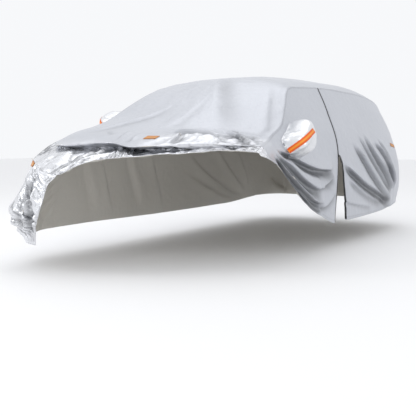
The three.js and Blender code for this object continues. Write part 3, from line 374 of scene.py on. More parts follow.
def spline(knots, values, at):
    """Places along a smooth curve through one value at each rising knot. The values are the same for
    every place (knots, n), or one set for each place (knots, places, n)."""
    knots, values, at = (np.asarray(a, float) for a in (knots, values, at))
    last = len(knots) - 1
    low = np.searchsorted(knots[1:-1], at)
    own = (np.arange(len(at)),) if values.ndim == 3 else ()

    def slope(i):
        before, after = np.maximum(i - 1, 0), np.minimum(i + 1, last)
        return (values[(after, *own)] - values[(before, *own)]) / (knots[after] - knots[before])[:, None]

    gap = (knots[low + 1] - knots[low])[:, None]
    s = (at - knots[low])[:, None] / gap
    start, end = values[(low, *own)], values[(low + 1, *own)]
    return (start * (2 * s**3 - 3 * s**2 + 1) + end * (3 * s**2 - 2 * s**3)
            + gap * slope(low) * (s**3 - 2 * s**2 + s) + gap * slope(low + 1) * (s**3 - s**2))


# ---------- the draped form ----------
def crowned(row):
    """The places across the centre panel of a section over the body."""
    points = []
    for knot in ACROSS:
        x, y, z = row.get("right", row["left"])[0] if knot < 0 else row["left"][0]
        drop = abs(knot) ** row["crown"]
        top_y, top_z = row["top"]
        points.append((x * knot, top_y + (y - top_y) * drop**CROWN_BACK, top_z + (z - top_z) * drop))
    return points


def mirrored(points):
    return [(-x, y, z) for x, y, z in points]


def tables():
    """Every section's places: across the centre panel, and down each side from its seam."""
    across = [crowned(row) for row in BODY_SECTIONS] + [row["across"] for row in BONNET_SECTIONS]
    left = [row["left"] for row in BODY_SECTIONS]
    left += [[row["across"][-1], *row["left"]] for row in BONNET_SECTIONS]
    right = [mirrored(row.get("right", row["left"])) for row in BODY_SECTIONS]
    right += [[row["across"][0], *row["right"]] for row in BONNET_SECTIONS]
    return {key: np.array(value) for key, value in (("across", across), ("left", left), ("right", right))}


SECTIONS = tables()
NAMES = [row["name"] for row in BODY_SECTIONS + BONNET_SECTIONS]
LAST = len(NAMES) - 1
ZIP = NAMES.index("zip")


def surface(kind, knots, across, along):
    """Places on a panel's form: across at the given knots, along from one section to the next."""
    table = SECTIONS[kind]
    rows = spline(np.arange(LAST + 1), table.reshape(len(table), -1), along)
    return spline(knots, rows.reshape(len(along), len(knots), 3).transpose(1, 0, 2), across)


def centre_form(across, along):
    return surface("across", ACROSS, across, along)


def front_form(down, along):
    return surface("left", DOWN, down, along)


def rear_form(down, along):
    """The rear half's edge has swung back where the zip is open, and its rows crowd together."""
    parted = np.maximum(0, (down - ZIP_OPEN_AT) / (1 - ZIP_OPEN_AT))
    moved = ZIP_OPEN_HEM * parted**ZIP_OPEN_CURVE * np.maximum(0, (along - ZIP) / ZIP_OPEN_OVER + 1)
    return surface("left", DOWN, down, along - moved)


def corner_form(down, across):
    knots = [CORNER_BEFORE, ACROSS[0]] + [knot for knot, _ in CORNER_COLUMNS]
    columns = [SECTIONS["right"][LAST - 1][1:], SECTIONS["right"][LAST][1:]]
    columns = np.array(columns + [points for _, points in CORNER_COLUMNS])
    below = spline(knots, columns.reshape(len(knots), -1), across).reshape(len(across), 3, 3)
    top = centre_form(across, np.full(len(across), float(LAST)))
    return spline(DOWN, np.concatenate([top[:, None], below], 1).transpose(1, 0, 2), down)


def right_form(down, along):
    """Along the right side, and past the last section on round the front corner."""
    side = surface("right", DOWN, down, np.minimum(along, LAST))
    round_corner = corner_form(down, ACROSS[0] + np.maximum(along - LAST, 0) * (CORNER_END - ACROSS[0]))
    return np.where(along[:, None] > LAST, round_corner, side)


ROOF = centre_form(np.array([0.0]), np.array([ZIP - 0.4]))[0]
SHIFT = np.array([0, -ROOF[1], CLOTH - ROOF[2]])  # from the tables' frame to the part's


# ---------- folds and wrinkles ----------
noise.seed_set(NOISE_SEED)  # else the facets' creases would bend another way at each run


def fold_moves(places, facing, table):
    """How far the folds of one table move each place, up off the form and over their hollows, and
    how deep in a hollow each place lies."""
    axes = list(table["axes"])
    flat = places[:, axes]
    seen = smooth(2 * np.abs(facing[:, 3 - sum(axes)]) - FOLD_FACING)
    moves, depth = np.zeros_like(places), np.zeros(len(places))
    for rise, width, trough, lean, line in table["folds"]:
        line = np.array(line)
        knots = np.concatenate([[0], np.cumsum(np.linalg.norm(np.diff(line, axis=0), axis=1))])
        line = spline(knots, line, np.linspace(0, knots[-1], FOLD_PIECES + 1))
        starts, legs = line[:-1], np.diff(line, axis=0)
        lengths = np.linalg.norm(legs, axis=1)
        ways = legs / lengths[:, None]
        gone = np.concatenate([[0], np.cumsum(lengths)[:-1]])
        near = np.linalg.norm(flat - line.mean(0), axis=1) < (
            knots[-1] / 2 + FOLD_REACH[0] * width + FOLD_REACH[1])
        off = flat[near][:, None] - starts
        reach = np.clip((off * ways).sum(2), 0, lengths)
        off -= reach[..., None] * ways
        gaps = np.linalg.norm(off, axis=2)
        nearest = (np.arange(len(gaps)), gaps.argmin(1))
        way, off = ways[nearest[1]], off[nearest]
        side = np.sign(way[:, 0] * off[:, 1] - way[:, 1] * off[:, 0]) * trough
        share = (gone[nearest[1]] + reach[nearest]) / knots[-1]
        offset = side * gaps[nearest] / (width * (FOLD_OPENS[0] + FOLD_OPENS[1] * share))
        fade = smooth(share / table["fade"][0]) * smooth((1 - share) / table["fade"][1])
        # the crest is sharp, and falls away gently behind and steeply into its hollow
        crest = np.where(offset > 0, np.exp(-(offset / CREST_STEEP) ** 2), np.exp(offset / CREST_GENTLE))
        past = offset - HOLLOW_OFF
        hollow = np.exp(-(past / np.where(past < 0, HOLLOW_STEEP, HOLLOW_GENTLE)) ** 2)
        height = rise * fade * seen[near]
        moves[near] += facing[near] * (height * (crest - HOLLOW_DEEP * hollow))[:, None]
        depth[near] += height * hollow
        over = np.stack([-way[:, 1], way[:, 0]], 1) * trough
        push = np.zeros((near.sum(), 3))
        push[:, axes] = over * (height * lean * crest)[:, None]
        moves[near] += push
    return moves, depth


def facets(places, scale, flat):
    """Creased facets like those of crushed foil: 0 in the creases, and up to about 1 on the facets."""
    values = np.empty(len(places))
    for i, place in enumerate(places / scale):
        warped = Vector(place) + FACET_WARP * noise.noise_vector(Vector(place) * FACET_WARP_SCALE)
        distances = noise.voronoi(warped)[0]
        values[i] = distances[1] - distances[0]
    return np.minimum(values, flat)


def creased(flat, across, along, turn):
    """Straight-edged facets: random heights at the corners of a net of triangles, joined by planes."""
    heights = np.random.RandomState(round(100 + 10 * turn)).uniform(-1, 1, (CREASE_NET, CREASE_NET))
    u = (flat[:, 0] * math.cos(turn) - flat[:, 1] * math.sin(turn)) / across
    v = (flat[:, 0] * math.sin(turn) + flat[:, 1] * math.cos(turn)) / along
    # waves of uneven lengths bend the net
    u, v = (u + CREASE_WARP * np.sin(1.3 * v + turn) + CREASE_WARP * np.sin(2.9 * u + 0.7 * v),
            v + CREASE_WARP * np.sin(1.7 * u - turn) + CREASE_WARP * np.sin(2.3 * v - 0.9 * u))
    column, row = np.floor(u).astype(int), np.floor(v).astype(int)
    u, v = u - column, v - row
    at = lambda i, j: heights[(column + i) % CREASE_NET, (row + j) % CREASE_NET]
    turned_over = u > v
    side = np.where(turned_over, at(1, 0), at(0, 1))
    high, low = np.maximum(u, v), np.minimum(u, v)
    return at(0, 0) * (1 - high) + side * (high - low) + at(1, 1) * low


def waves(places, scale, octaves):
    return np.array([noise.fractal(Vector(place), WAVE_FALL, 2.0, octaves) for place in places / scale])


def foil_share(places, along):
    """1 where the cloth has been crushed and shines like foil, 0 where it lies smooth."""
    under = smooth((along - FOIL["section"]) / FOIL["section_over"])
    ahead = smooth((-places[:, 1] - FOIL["ahead"]) / FOIL["ahead_over"])
    right = smooth((FOIL["right"] - places[:, 0]) / FOIL["right_over"])
    below = smooth((FOIL["below"] - places[:, 2]) / FOIL["below_over"])
    gathered = smooth((along - FOIL["foot"]) / FOIL["foot_over"])
    gathered *= FOIL["partly"] * smooth((places[:, 0] - FOIL["left"]) / FOIL["left_over"])
    gathered *= smooth((FOIL["side"] - places[:, 0]) / FOIL["side_over"])
    return np.maximum.reduce([under, ahead * right * below, gathered])


def relief(places, flat, foil, seam, hem, along):
    """Height of the small wrinkles off the folded form. flat: each place's own place on its cloth."""
    soft = SAG * waves(places, SAG_SCALE, SAG_OCTAVES)
    soft += CRINKLE * (facets(places, CRINKLE_SCALE, CRINKLE_FLAT) - CRINKLE_LOW)
    crushed = sum(height * creased(flat, *size) for height, *size in CRUSH)
    pleated = smooth((along - PLEATS["first"]) / PLEATS["over"])
    pleated *= smooth(2 - 2 * np.abs(places[:, 0] - PLEATS["middle"]) / PLEATS["half"])
    swing = places[:, 0] * PLEATS["per_metre"]
    swing = swing + PLEATS["sway"] * np.sin(swing) + PLEATS["slant"] * along
    crushed += PLEATS["height"] * pleated * (1 - 2 * np.abs(np.sin(math.pi * swing)))
    crushed *= CREASE_LEFT + (1 - CREASE_LEFT) * smooth(hem / CREASE_HEM)
    (wide, slow), (fine, quick), (sway, turns) = RUFFLES
    ruffles = wide * np.sin(along * slow + sway * np.sin(along * turns)) + fine * np.sin(along * quick)
    drawn = GATHER * ruffles * np.exp(-hem / GATHER_UP) * smooth(hem / GATHER_EDGE + GATHER_LEFT)
    lifted = soft * (1 - foil) + crushed * foil + drawn * np.maximum(foil, GATHER_SOFT)
    lifted *= smooth(seam / SEAM_CALM) * under_tape(places)
    return lifted + HEM_LIFT * smooth((HEM - hem) / HEM_STEP)


# ---------- sheets ----------
def stations(pitch_rear, pitch_front, first, last):
    """Rows along the cover, closer together where the cloth is more broken up."""
    rows = []
    for i in range(first, last):
        steps = [SECTIONS[kind][i + 1] - SECTIONS[kind][i] for kind in ("across", "left", "right")]
        length = max(np.linalg.norm(step, axis=1).max() for step in steps)
        pitch = pitch_rear if i < ZIP else pitch_front
        rows.append(np.linspace(i, i + 1, max(2, math.ceil(length / pitch)), endpoint=False))
    return np.concatenate(rows + [[float(last)]])


def lengths(points, axis):
    """How far each place of a grid is along its row or column."""
    steps = np.linalg.norm(np.diff(points, axis=axis), axis=2)
    zero = np.zeros_like(steps.take([0], axis))
    return np.concatenate([zero, np.cumsum(steps, axis)], axis)


def grid_normals(points, turned):
    normals = unit(np.cross(np.gradient(points, axis=0), np.gradient(points, axis=1)))
    return -normals if turned else normals


def under_tape(places):
    """0 where stiff tape holds the cloth flat, and 1 away from it."""
    held = np.ones(len(places))
    for strip in STRIPS:
        if strip["on"] in FOLDS:
            gap = np.linalg.norm(places - strip["at"], axis=1) / (0.5 * strip["size"][0] + TAPE_CALM)
            held *= 1 - TAPE_HOLD * smooth(2 - TAPE_FADE * gap)
    return held


def folded(form, tables, off_edge, across, along, turned):
    """Places on a panel with its main folds, in the tables' frame, and how much painted shade each takes.
    """
    c, v = across.ravel(), along.ravel()
    places = form(c, v)
    d_along = form(c, v + NEARBY) - form(c, v - NEARBY)
    d_across = form(c + NEARBY, v) - form(c - NEARBY, v)
    facing = unit(np.cross(d_along, d_across)) * (-1 if turned else 1)
    found = [fold_moves(places, facing, FOLDS[name]) for name in tables]
    held = off_edge(c, v) * under_tape(places)
    moves, depth = (sum(parts) for parts in zip(*found))
    # painted shade: the deeper a place lies in a fold's hollow, the darker its colour is drawn
    shade = np.minimum(depth * held / SHADE_DEEP, 1)
    return (places + moves * held[:, None]).reshape(*across.shape, 3), shade.reshape(across.shape)


def grid_mesh(name, points, uv, turned=False, around=False, hole=None, drop_touching=False,
              attributes=()):
    """A sheet of quads through a grid of points, rows along the first axis. around joins the last
    column to the first, and its last row is drawn together to a point. hole marks the places of an
    opening: faces inside it go, or with drop_touching all that touch it."""
    rows, columns = points.shape[:2]
    bm = bmesh.new()
    bmesh.ops.create_grid(bm, x_segments=rows - 1, y_segments=columns - 1, size=0.5)
    bm.verts.index_update()
    corners = np.array([vertex.co[:2] for vertex in bm.verts])
    place_of = np.empty(len(corners), int)
    place_of[np.lexsort(corners.round(6).T[::-1])] = np.arange(len(corners))
    flat = points.reshape(-1, 3)
    for vertex, i in zip(bm.verts, place_of):
        vertex.co = flat[i]
    layer = bm.loops.layers.uv.new("cloth")
    places_uv = uv.reshape(-1, 2)[place_of]
    for face in bm.faces:
        face.smooth = True
        for loop in face.loops:
            loop[layer].uv = places_uv[loop.vert.index]
    for key, values in attributes:
        held = bm.verts.layers.float.new(key)
        for vertex, value in zip(bm.verts, values.ravel()[place_of]):
            vertex[held] = value
    if hole is not None:
        inside, some = hole.ravel()[place_of], any if drop_touching else all
        gone = [face for face in bm.faces if some(inside[vertex.index] for vertex in face.verts)]
        bmesh.ops.delete(bm, geom=gone, context="FACES")
    if around:
        bmesh.ops.remove_doubles(bm, verts=bm.verts, dist=1e-5)
    if turned:
        bmesh.ops.reverse_faces(bm, faces=bm.faces)
    return finished(bm, name)


def finished(bm, name):
    """The mesh of a finished bmesh."""
    mesh = bpy.data.meshes.new(name)
    bm.to_mesh(mesh)
    bm.free()
    return mesh


def shown(name, data):
    """A new object in the scene."""
    thing = bpy.data.objects.new(name, data)
    bpy.context.scene.collection.objects.link(thing)
    return thing


def placed(mesh, materials, replaces=(), thick=None):
    """Shows a finished mesh as a piece of the cover. A sheet's inner side takes its second material."""
    piece = shown(mesh.name, mesh)
    for material in materials:
        mesh.materials.append(material)
    if thick:
        wall = piece.modifiers.new("thickness", "SOLIDIFY")
        wall.thickness = thick
        wall.offset = -1
        wall.use_even_offset = False
        wall.material_offset = len(materials) - 1
    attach(piece, "root")
    if replaces:
        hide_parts(*replaces)
    return piece


# ---------- materials ----------
def node(tree, kind, inputs=None, **settings):
    """A shader node. An input is a value, or another node's output to link."""
    made = tree.nodes.new("ShaderNode" + kind)
    for key, value in settings.items():
        setattr(made, key, value)
    for key, value in (inputs or {}).items():
        if isinstance(value, bpy.types.NodeSocket):
            tree.links.new(value, made.inputs[key])
        else:
            made.inputs[key].default_value = value
    return made


def surface_material(name, **sockets):
    """A new material, its node tree and its shader, with the shader's own sockets set."""
    material = bpy.data.materials.new(name)
    material.use_nodes = True
    shade = material.node_tree.nodes["Principled BSDF"]
    for key, value in sockets.items():
        shade.inputs[key.replace("_", " ")].default_value = value
    return material, material.node_tree, shade


def arithmetic(tree, operation, a, b=0.0):
    return node(tree, "Math", {0: a, 1: b}, operation=operation).outputs[0]


def added(tree, a, b):
    return arithmetic(tree, "ADD", a, b)


def times(tree, a, b):
    return arithmetic(tree, "MULTIPLY", a, b)


def between(tree, share, low, high):
    """A value from low to high as share goes from 0 to 1."""
    return node(tree, "MapRange", {"Value": share, "To Min": low, "To Max": high}).outputs["Result"]


def blended(tree, share, low, high):
    """A colour from low to high as share goes from 0 to 1."""
    return node(tree, "Mix", {0: share, 6: low, 7: high}, data_type="RGBA").outputs[2]


def noise_at(tree, vector, scale, detail):
    return node(tree, "TexNoise", {"Vector": vector, "Scale": scale, "Detail": detail}).outputs["Fac"]


def own_place(tree):
    """Where on the piece, in metres."""
    return node(tree, "TexCoord").outputs["Object"]


def place_on_cloth(tree):
    """Where on the flat cloth or tape."""
    return node(tree, "UVMap", uv_map="cloth").outputs["UV"]


def held_in(tree, attribute):
    """The value that each place of the mesh holds."""
    return node(tree, "Attribute", attribute_name=attribute).outputs["Fac"]


def bumped(tree, shade, height, strength, distance):
    bump = node(tree, "Bump", {"Height": height, "Strength": strength, "Distance": distance})
    tree.links.new(bump.outputs[0], shade.inputs["Normal"])


def tilted_facets(tree, where, foil):
    """Small flat facets, each leaning its own way, of the crushed cloth alone."""
    scale, detail, by = FACET_DRIFT
    drift = node(tree, "TexNoise", {"Vector": where, "Scale": scale, "Detail": detail}).outputs["Color"]
    drift = node(tree, "VectorMath", {0: drift, "Scale": by}, operation="SCALE").outputs[0]
    bent = node(tree, "VectorMath", {0: where, 1: drift}, operation="ADD").outputs[0]
    cells = node(tree, "TexVoronoi", {"Vector": bent, "Scale": FACETS_A_METRE})
    off = node(tree, "VectorMath", {0: bent, 1: cells.outputs["Position"]}, operation="SUBTRACT").outputs[0]
    way = node(tree, "VectorMath", {0: cells.outputs["Color"], 1: (0.5, 0.5, 0.5)}, operation="SUBTRACT")
    lean = node(tree, "VectorMath", {0: off, 1: way.outputs[0]}, operation="DOT_PRODUCT").outputs["Value"]
    return times(tree, lean, between(tree, foil, 0.0, FACET_LEAN))


def coated_cloth(name, plain, worn, foil_bright):
    """Silver coated cloth: soft and satin where it lies smooth, bright and creased where crushed."""
    material, tree, shade = surface_material(name, Sheen_Weight=0.08, Sheen_Roughness=0.4)
    where, cut = own_place(tree), place_on_cloth(tree)
    foil, seam, shaded = held_in(tree, "foil"), held_in(tree, "stitch"), held_in(tree, "shade")

    # colour: faint clouds, with fine fibres showing through the coat, and painted shade darkening the full
    # hollows
    clouds = noise_at(tree, where, *CLOUDS)
    mottle = between(tree, added(tree, clouds, times(tree, noise_at(tree, where, *FIBRES), 0.5)), *MOTTLE)
    cloth = blended(tree, mottle, worn, plain)
    # stitches: short dark dashes along each seam and hem
    run = node(tree, "SeparateXYZ", {0: cut})
    run = added(tree, run.outputs[0], run.outputs[1])
    dash = arithmetic(tree, "SINE", times(tree, run, 2 * math.pi / STITCH))
    dash = times(tree, arithmetic(tree, "GREATER_THAN", dash, STITCH_GAP), seam)
    cloth = blended(tree, times(tree, dash, STITCH_DARK), cloth, STITCH_TONE)
    colour = blended(tree, foil, cloth, foil_bright)
    # painted shade: the colour goes towards a dark tone in the fold hollows and crease valleys
    colour = blended(tree, times(tree, shaded, SHADE_SHARE), colour, SHADE_TONE)
    tree.links.new(colour, shade.inputs["Base Color"])
    tree.links.new(between(tree, foil, *CLOTH_METAL), shade.inputs["Metallic"])
    uneven = times(tree, arithmetic(tree, "SUBTRACT", clouds, 0.5), ROUGH_UNEVEN)
    tree.links.new(added(tree, between(tree, foil, *CLOTH_ROUGH), uneven), shade.inputs["Roughness"])

    # the surface: a ripstop weave, small dents, and sharp little creases where crushed
    grid = node(tree, "Mapping", {"Vector": cut, "Scale": (1 / WEAVE, 1 / WEAVE, 1)}).outputs[0]
    threads = node(tree, "TexChecker", {"Vector": grid, "Scale": 1.0, "Color1": (1, 1, 1, 1),
                                        "Color2": (0.55, 0.55, 0.55, 1)}).outputs["Fac"]
    soft = node(tree, "Mapping", {"Vector": where, "Scale": (1, 1, 0.6)}).outputs[0]
    soft = times(tree, noise_at(tree, soft, *SOFT_NOISE), SOFT_DENTS)
    dents = added(tree, times(tree, noise_at(tree, where, *DENT_NOISE), DENTS), soft)
    height = added(tree, times(tree, threads, THREADS), dents)
    height = added(tree, height, tilted_facets(tree, where, foil))
    height = arithmetic(tree, "SUBTRACT", height, times(tree, dash, STITCH_DEEP))
    bumped(tree, shade, height, *CLOTH_BUMP)
    return material


def lining_cloth():
    """The soft inner face: cream felted fibre."""
    material, tree, shade = surface_material("lining", Roughness=0.92, Sheen_Weight=0.3,
                                             Sheen_Roughness=0.6)
    fibres = noise_at(tree, own_place(tree), *FELT)
    tree.links.new(blended(tree, fibres, *LINING_TONES), shade.inputs["Base Color"])
    bumped(tree, shade, fibres, *LINING_BUMP)
    return material


def reflective_tape(name, edge, middle):
    """Tape with a paler glass-beaded band down its middle."""
    material, tree, shade = surface_material(name, Roughness=0.5, Coat_Weight=0.1, Coat_Roughness=0.3)
    across = node(tree, "SeparateXYZ", {0: place_on_cloth(tree)}).outputs[1]
    off_middle = arithmetic(tree, "ABSOLUTE", arithmetic(tree, "SUBTRACT", across, 0.5))
    band = node(tree, "MapRange", {"Value": off_middle, "From Min": BAND_FROM, "From Max": BAND_TO,
                                   "To Min": 1.0, "To Max": 0.0}).outputs["Result"]
    tree.links.new(blended(tree, band, edge, middle), shade.inputs["Base Color"])
    beads = node(tree, "TexVoronoi", {"Vector": own_place(tree), "Scale": BEADS}).outputs["Distance"]
    bumped(tree, shade, beads, *BEAD_BUMP)
    return material


def zip_tape():
    """Black woven tape."""
    material, tree, shade = surface_material("zip_tape", Roughness=0.85)
    ribs = node(tree, "TexWave", {"Vector": place_on_cloth(tree), "Scale": RIBS}).outputs["Fac"]
    tree.links.new(blended(tree, ribs, *TAPE_TONES), shade.inputs["Base Color"])
    bumped(tree, shade, ribs, *RIB_BUMP)
    return material


def dark_metal(name, colour, metallic, roughness):
    """Dark metal or nylon, scuffed paler in small patches spread by noise."""
    material, tree, shade = surface_material(name, Metallic=metallic)
    scuffs = noise_at(tree, own_place(tree), *SCUFFS)
    tree.links.new(blended(tree, scuffs, colour, tuple(1.8 * c for c in colour[:3]) + (1,)),
                   shade.inputs["Base Color"])
    tree.links.new(between(tree, scuffs, roughness - 0.1, roughness + 0.15), shade.inputs["Roughness"])
    return material


SILVER = coated_cloth("coated_cloth", (0.60, 0.615, 0.655, 1), (0.53, 0.545, 0.585, 1),
                      (0.80, 0.81, 0.84, 1))
POCKET_SILVER = coated_cloth("pocket_cloth", (0.72, 0.73, 0.76, 1), (0.64, 0.65, 0.68, 1),
                             (0.86, 0.865, 0.88, 1))
LINING = lining_cloth()
ORANGE = reflective_tape("orange_tape", (0.78, 0.12, 0.002, 1), (0.88, 0.31, 0.02, 1))
AMBER = reflective_tape("amber_tape", (0.50, 0.17, 0.02, 1), (0.62, 0.29, 0.06, 1))
TAPE = zip_tape()
TEETH = dark_metal("zip_teeth", (0.02, 0.02, 0.022, 1), 0.0, 0.45)
PULL = dark_metal("zip_pull", (0.10, 0.10, 0.105, 1), 0.9, 0.35)


# ---------- the four panels ----------
def off_seam(share):
    return smooth(share / SEAM_FADE)


def off_zip(down, along):
    """Folds die out towards the closed zip, and less so towards the front half's free edge."""
    parted = smooth((down - ZIP_OPEN_AT) / ZIP_PARTS_OVER)
    closed, opened = smooth(ZIP_FADE * (along - ZIP)), smooth(EDGE_FADE[0] + EDGE_FADE[1] * (along - ZIP))
    return closed * (1 - parted) + opened * parted


def out_of_mouth(pocket, across, along):
    """How far out of a pocket's mouth each place lies: 1 on its edge."""
    power = 2 / POD_ROUNDING["mouth"]
    back = (pocket["along"] - along) / pocket["sections_wide"]
    up = (pocket["down"] - across) / pocket["share_high"]
    up = up / (1 - pocket["droop"] * np.clip(back, -1, 1))
    return (np.abs(back) ** power + np.abs(up) ** power) ** (1 / power)


def beside_zip(form, across, along, edge, toward):
    """Stations with the edge row moved in by half the zip, and the rows beside it crowded after it."""
    row = along[edge]
    step = np.linalg.norm(form(across[edge], row + NEARBY) - form(across[edge], row - NEARBY), axis=1)
    near = smooth(1 - np.abs(along - row) / ZIP_BESIDE)
    return along + toward * ZIP_WIDTH / 2 * (2 * NEARBY / step) * near


def cloth_panel(name, node_name, form, tables, off_edge, across, along, edges, turned=False,
                pocket=None, shape=None, crease_way=1):
    """One cut panel. edges names its seams and hems among first_row, last_row, first_column and
    last_column, and for a seam or hem along part of a side where it lies. crease_way is 1 where long
    creases run down it, and -1 where they run along it."""
    hole = None
    if pocket:
        out = out_of_mouth(pocket, across, along)
        hole = out < POD_INSET
        scale = POD_INSET / np.maximum(out, POD_INSET / 2)
        rim = hole & ~inner(hole)
        across = np.where(rim, pocket["down"] + (across - pocket["down"]) * scale, across)
        along = np.where(rim, pocket["along"] + (along - pocket["along"]) * scale, along)
    points, shade = folded(form, tables, off_edge, across, along, turned)
    down_to, along_to = lengths(points, 1), lengths(points, 0)
    reach = dict(first_column=down_to, last_column=down_to[:, -1:] - down_to,
                 first_row=along_to, last_row=along_to[-1:] - along_to)
    distance = dict(seam=np.full(across.shape, FAR), hem=np.full(across.shape, FAR))
    for kind, side, *part in edges:
        held = part[0](across) if part else True
        distance[kind] = np.minimum(distance[kind], np.where(held, reach[side], FAR))
    foil = foil_share(points.reshape(-1, 3), along.ravel())
    normals = grid_normals(points, turned)
    flat = np.stack([down_to, along_to], 2)
    rise = relief(points.reshape(-1, 3), flat.reshape(-1, 2)[:, ::crease_way], foil,
                  distance["seam"].ravel(), distance["hem"].ravel(), along.ravel()).reshape(across.shape)
    if shape:
        rise = rise + shape(across, along, reach)
    points = points + normals * rise[..., None] + SHIFT
    # painted shade along the sharp valleys of the crushed cloth's creases
    shade = np.minimum(1, shade + valleys(rise) * foil.reshape(across.shape))
    stitch = np.maximum(line_at(distance["seam"], SEAM_STITCH), line_at(distance["hem"], HEM_STITCH))
    mesh = grid_mesh(name, points, flat, turned, hole=hole,
                     attributes=[("foil", foil), ("stitch", stitch), ("shade", shade)])
    piece = placed(mesh, [SILVER, LINING], [node_name], SHEET)
    return dict(piece=piece, points=points, normals=grid_normals(points, turned), across=across,
                along=along, form=form, tables=tables, off_edge=off_edge, turned=turned)


def valleys(rise):
    """1 along the sharp valleys of a grid's relief, which take painted shade."""
    held = np.pad(rise, 1, mode="edge")
    bend = held[:-2, 1:-1] + held[2:, 1:-1] + held[1:-1, :-2] + held[1:-1, 2:] - 4 * rise
    return np.clip(bend / VALLEY_BEND, 0, 1)


def inner(mask):
    """The places of a mask whose eight neighbours are in it too."""
    padded = np.pad(mask, 1)
    rows, columns = mask.shape
    return np.logical_and.reduce(
        [padded[i:i + rows, j:j + columns] for i in range(3) for j in range(3)])


def line_at(distance, place):
    return np.exp(-((distance - place) / STITCH_WIDE) ** 2)


def all_cloth():
    columns = {key: np.linspace(0, 1, count) for key, count in COLUMNS.items()}
    columns["centre"] += CROWD * (1 - np.cos(2 * math.pi * columns["centre"])) / (2 * math.pi)
    centre_rows = stations(PITCH["centre_rear"], PITCH["centre_front"], 0, LAST)
    right_rows = np.concatenate([stations(PITCH["right_rear"], PITCH["right_front"], 0, LAST),
                                 LAST + columns["corner"][1:]])
    rear_rows = stations(PITCH["left"], PITCH["left"], 0, ZIP)
    front_rows = stations(PITCH["left"], PITCH["left"], ZIP, LAST)

    def grids(across, rows):
        rows, across = np.meshgrid(rows, across, indexing="ij")
        return across, rows

    across, along = grids(2 * columns["centre"] - 1, centre_rows)
    centre = cloth_panel(
        "top_cloth", "top_panel", centre_form, ["centre"], lambda across, _: off_seam(1 - np.abs(across)),
        across, along,
        [("seam", "first_column"), ("seam", "last_column"), ("hem", "first_row"),
         ("seam", "last_row", lambda across: across < CORNER_END),
         ("hem", "last_row", lambda across: across >= CORNER_END)], crease_way=-1)

    across, along = grids(columns["left_rear"], rear_rows)
    along = beside_zip(rear_form, across, along, -1, -1)

    def curled(down, along, reach):
        parted = smooth((down - CURL["below"]) / CURL["over"])
        return -CURL["depth"] * parted * smooth(1 - reach["last_row"] / CURL["reach"]) ** 2

    left_rear = cloth_panel(
        "left_rear_cloth", "side_panel_left_rear", rear_form, ["left_rear"],
        lambda down, _: off_seam(down), across, along,
        [("seam", "first_column"), ("seam", "last_row"), ("hem", "last_column"), ("hem", "first_row")],
        shape=curled)

    across, along = grids(columns["left_front"], front_rows)
    along = beside_zip(front_form, across, along, 0, 1)
    left_front = cloth_panel(
        "left_front_cloth", "side_panel_left_front", front_form, ["left_front"],
        lambda down, along: off_seam(down) * off_zip(down, along), across, along,
        [("seam", "first_column"), ("seam", "first_row"), ("hem", "last_column"), ("hem", "last_row")],
        pocket=POCKETS["left"])

    across, along = grids(columns["right"], right_rows)
    right = cloth_panel(
        "right_cloth", "side_panel_right", right_form, ["right", "corner"],
        lambda down, _: off_seam(down), across, along,
        [("seam", "first_column"), ("hem", "last_column"), ("hem", "first_row"), ("hem", "last_row")],
        turned=True, pocket=POCKETS["right"])
    return centre, left_rear, left_front, right


def tree_of(piece):
    mesh = piece.data
    return BVHTree.FromPolygons([v.co for v in mesh.vertices], [p.vertices for p in mesh.polygons])


CENTRE, LEFT_REAR, LEFT_FRONT, RIGHT = all_cloth()
PANELS = {"centre": CENTRE, "left_rear": LEFT_REAR, "left": LEFT_FRONT, "right": RIGHT}
TREES = {key: tree_of(panel["piece"]) for key, panel in PANELS.items()}


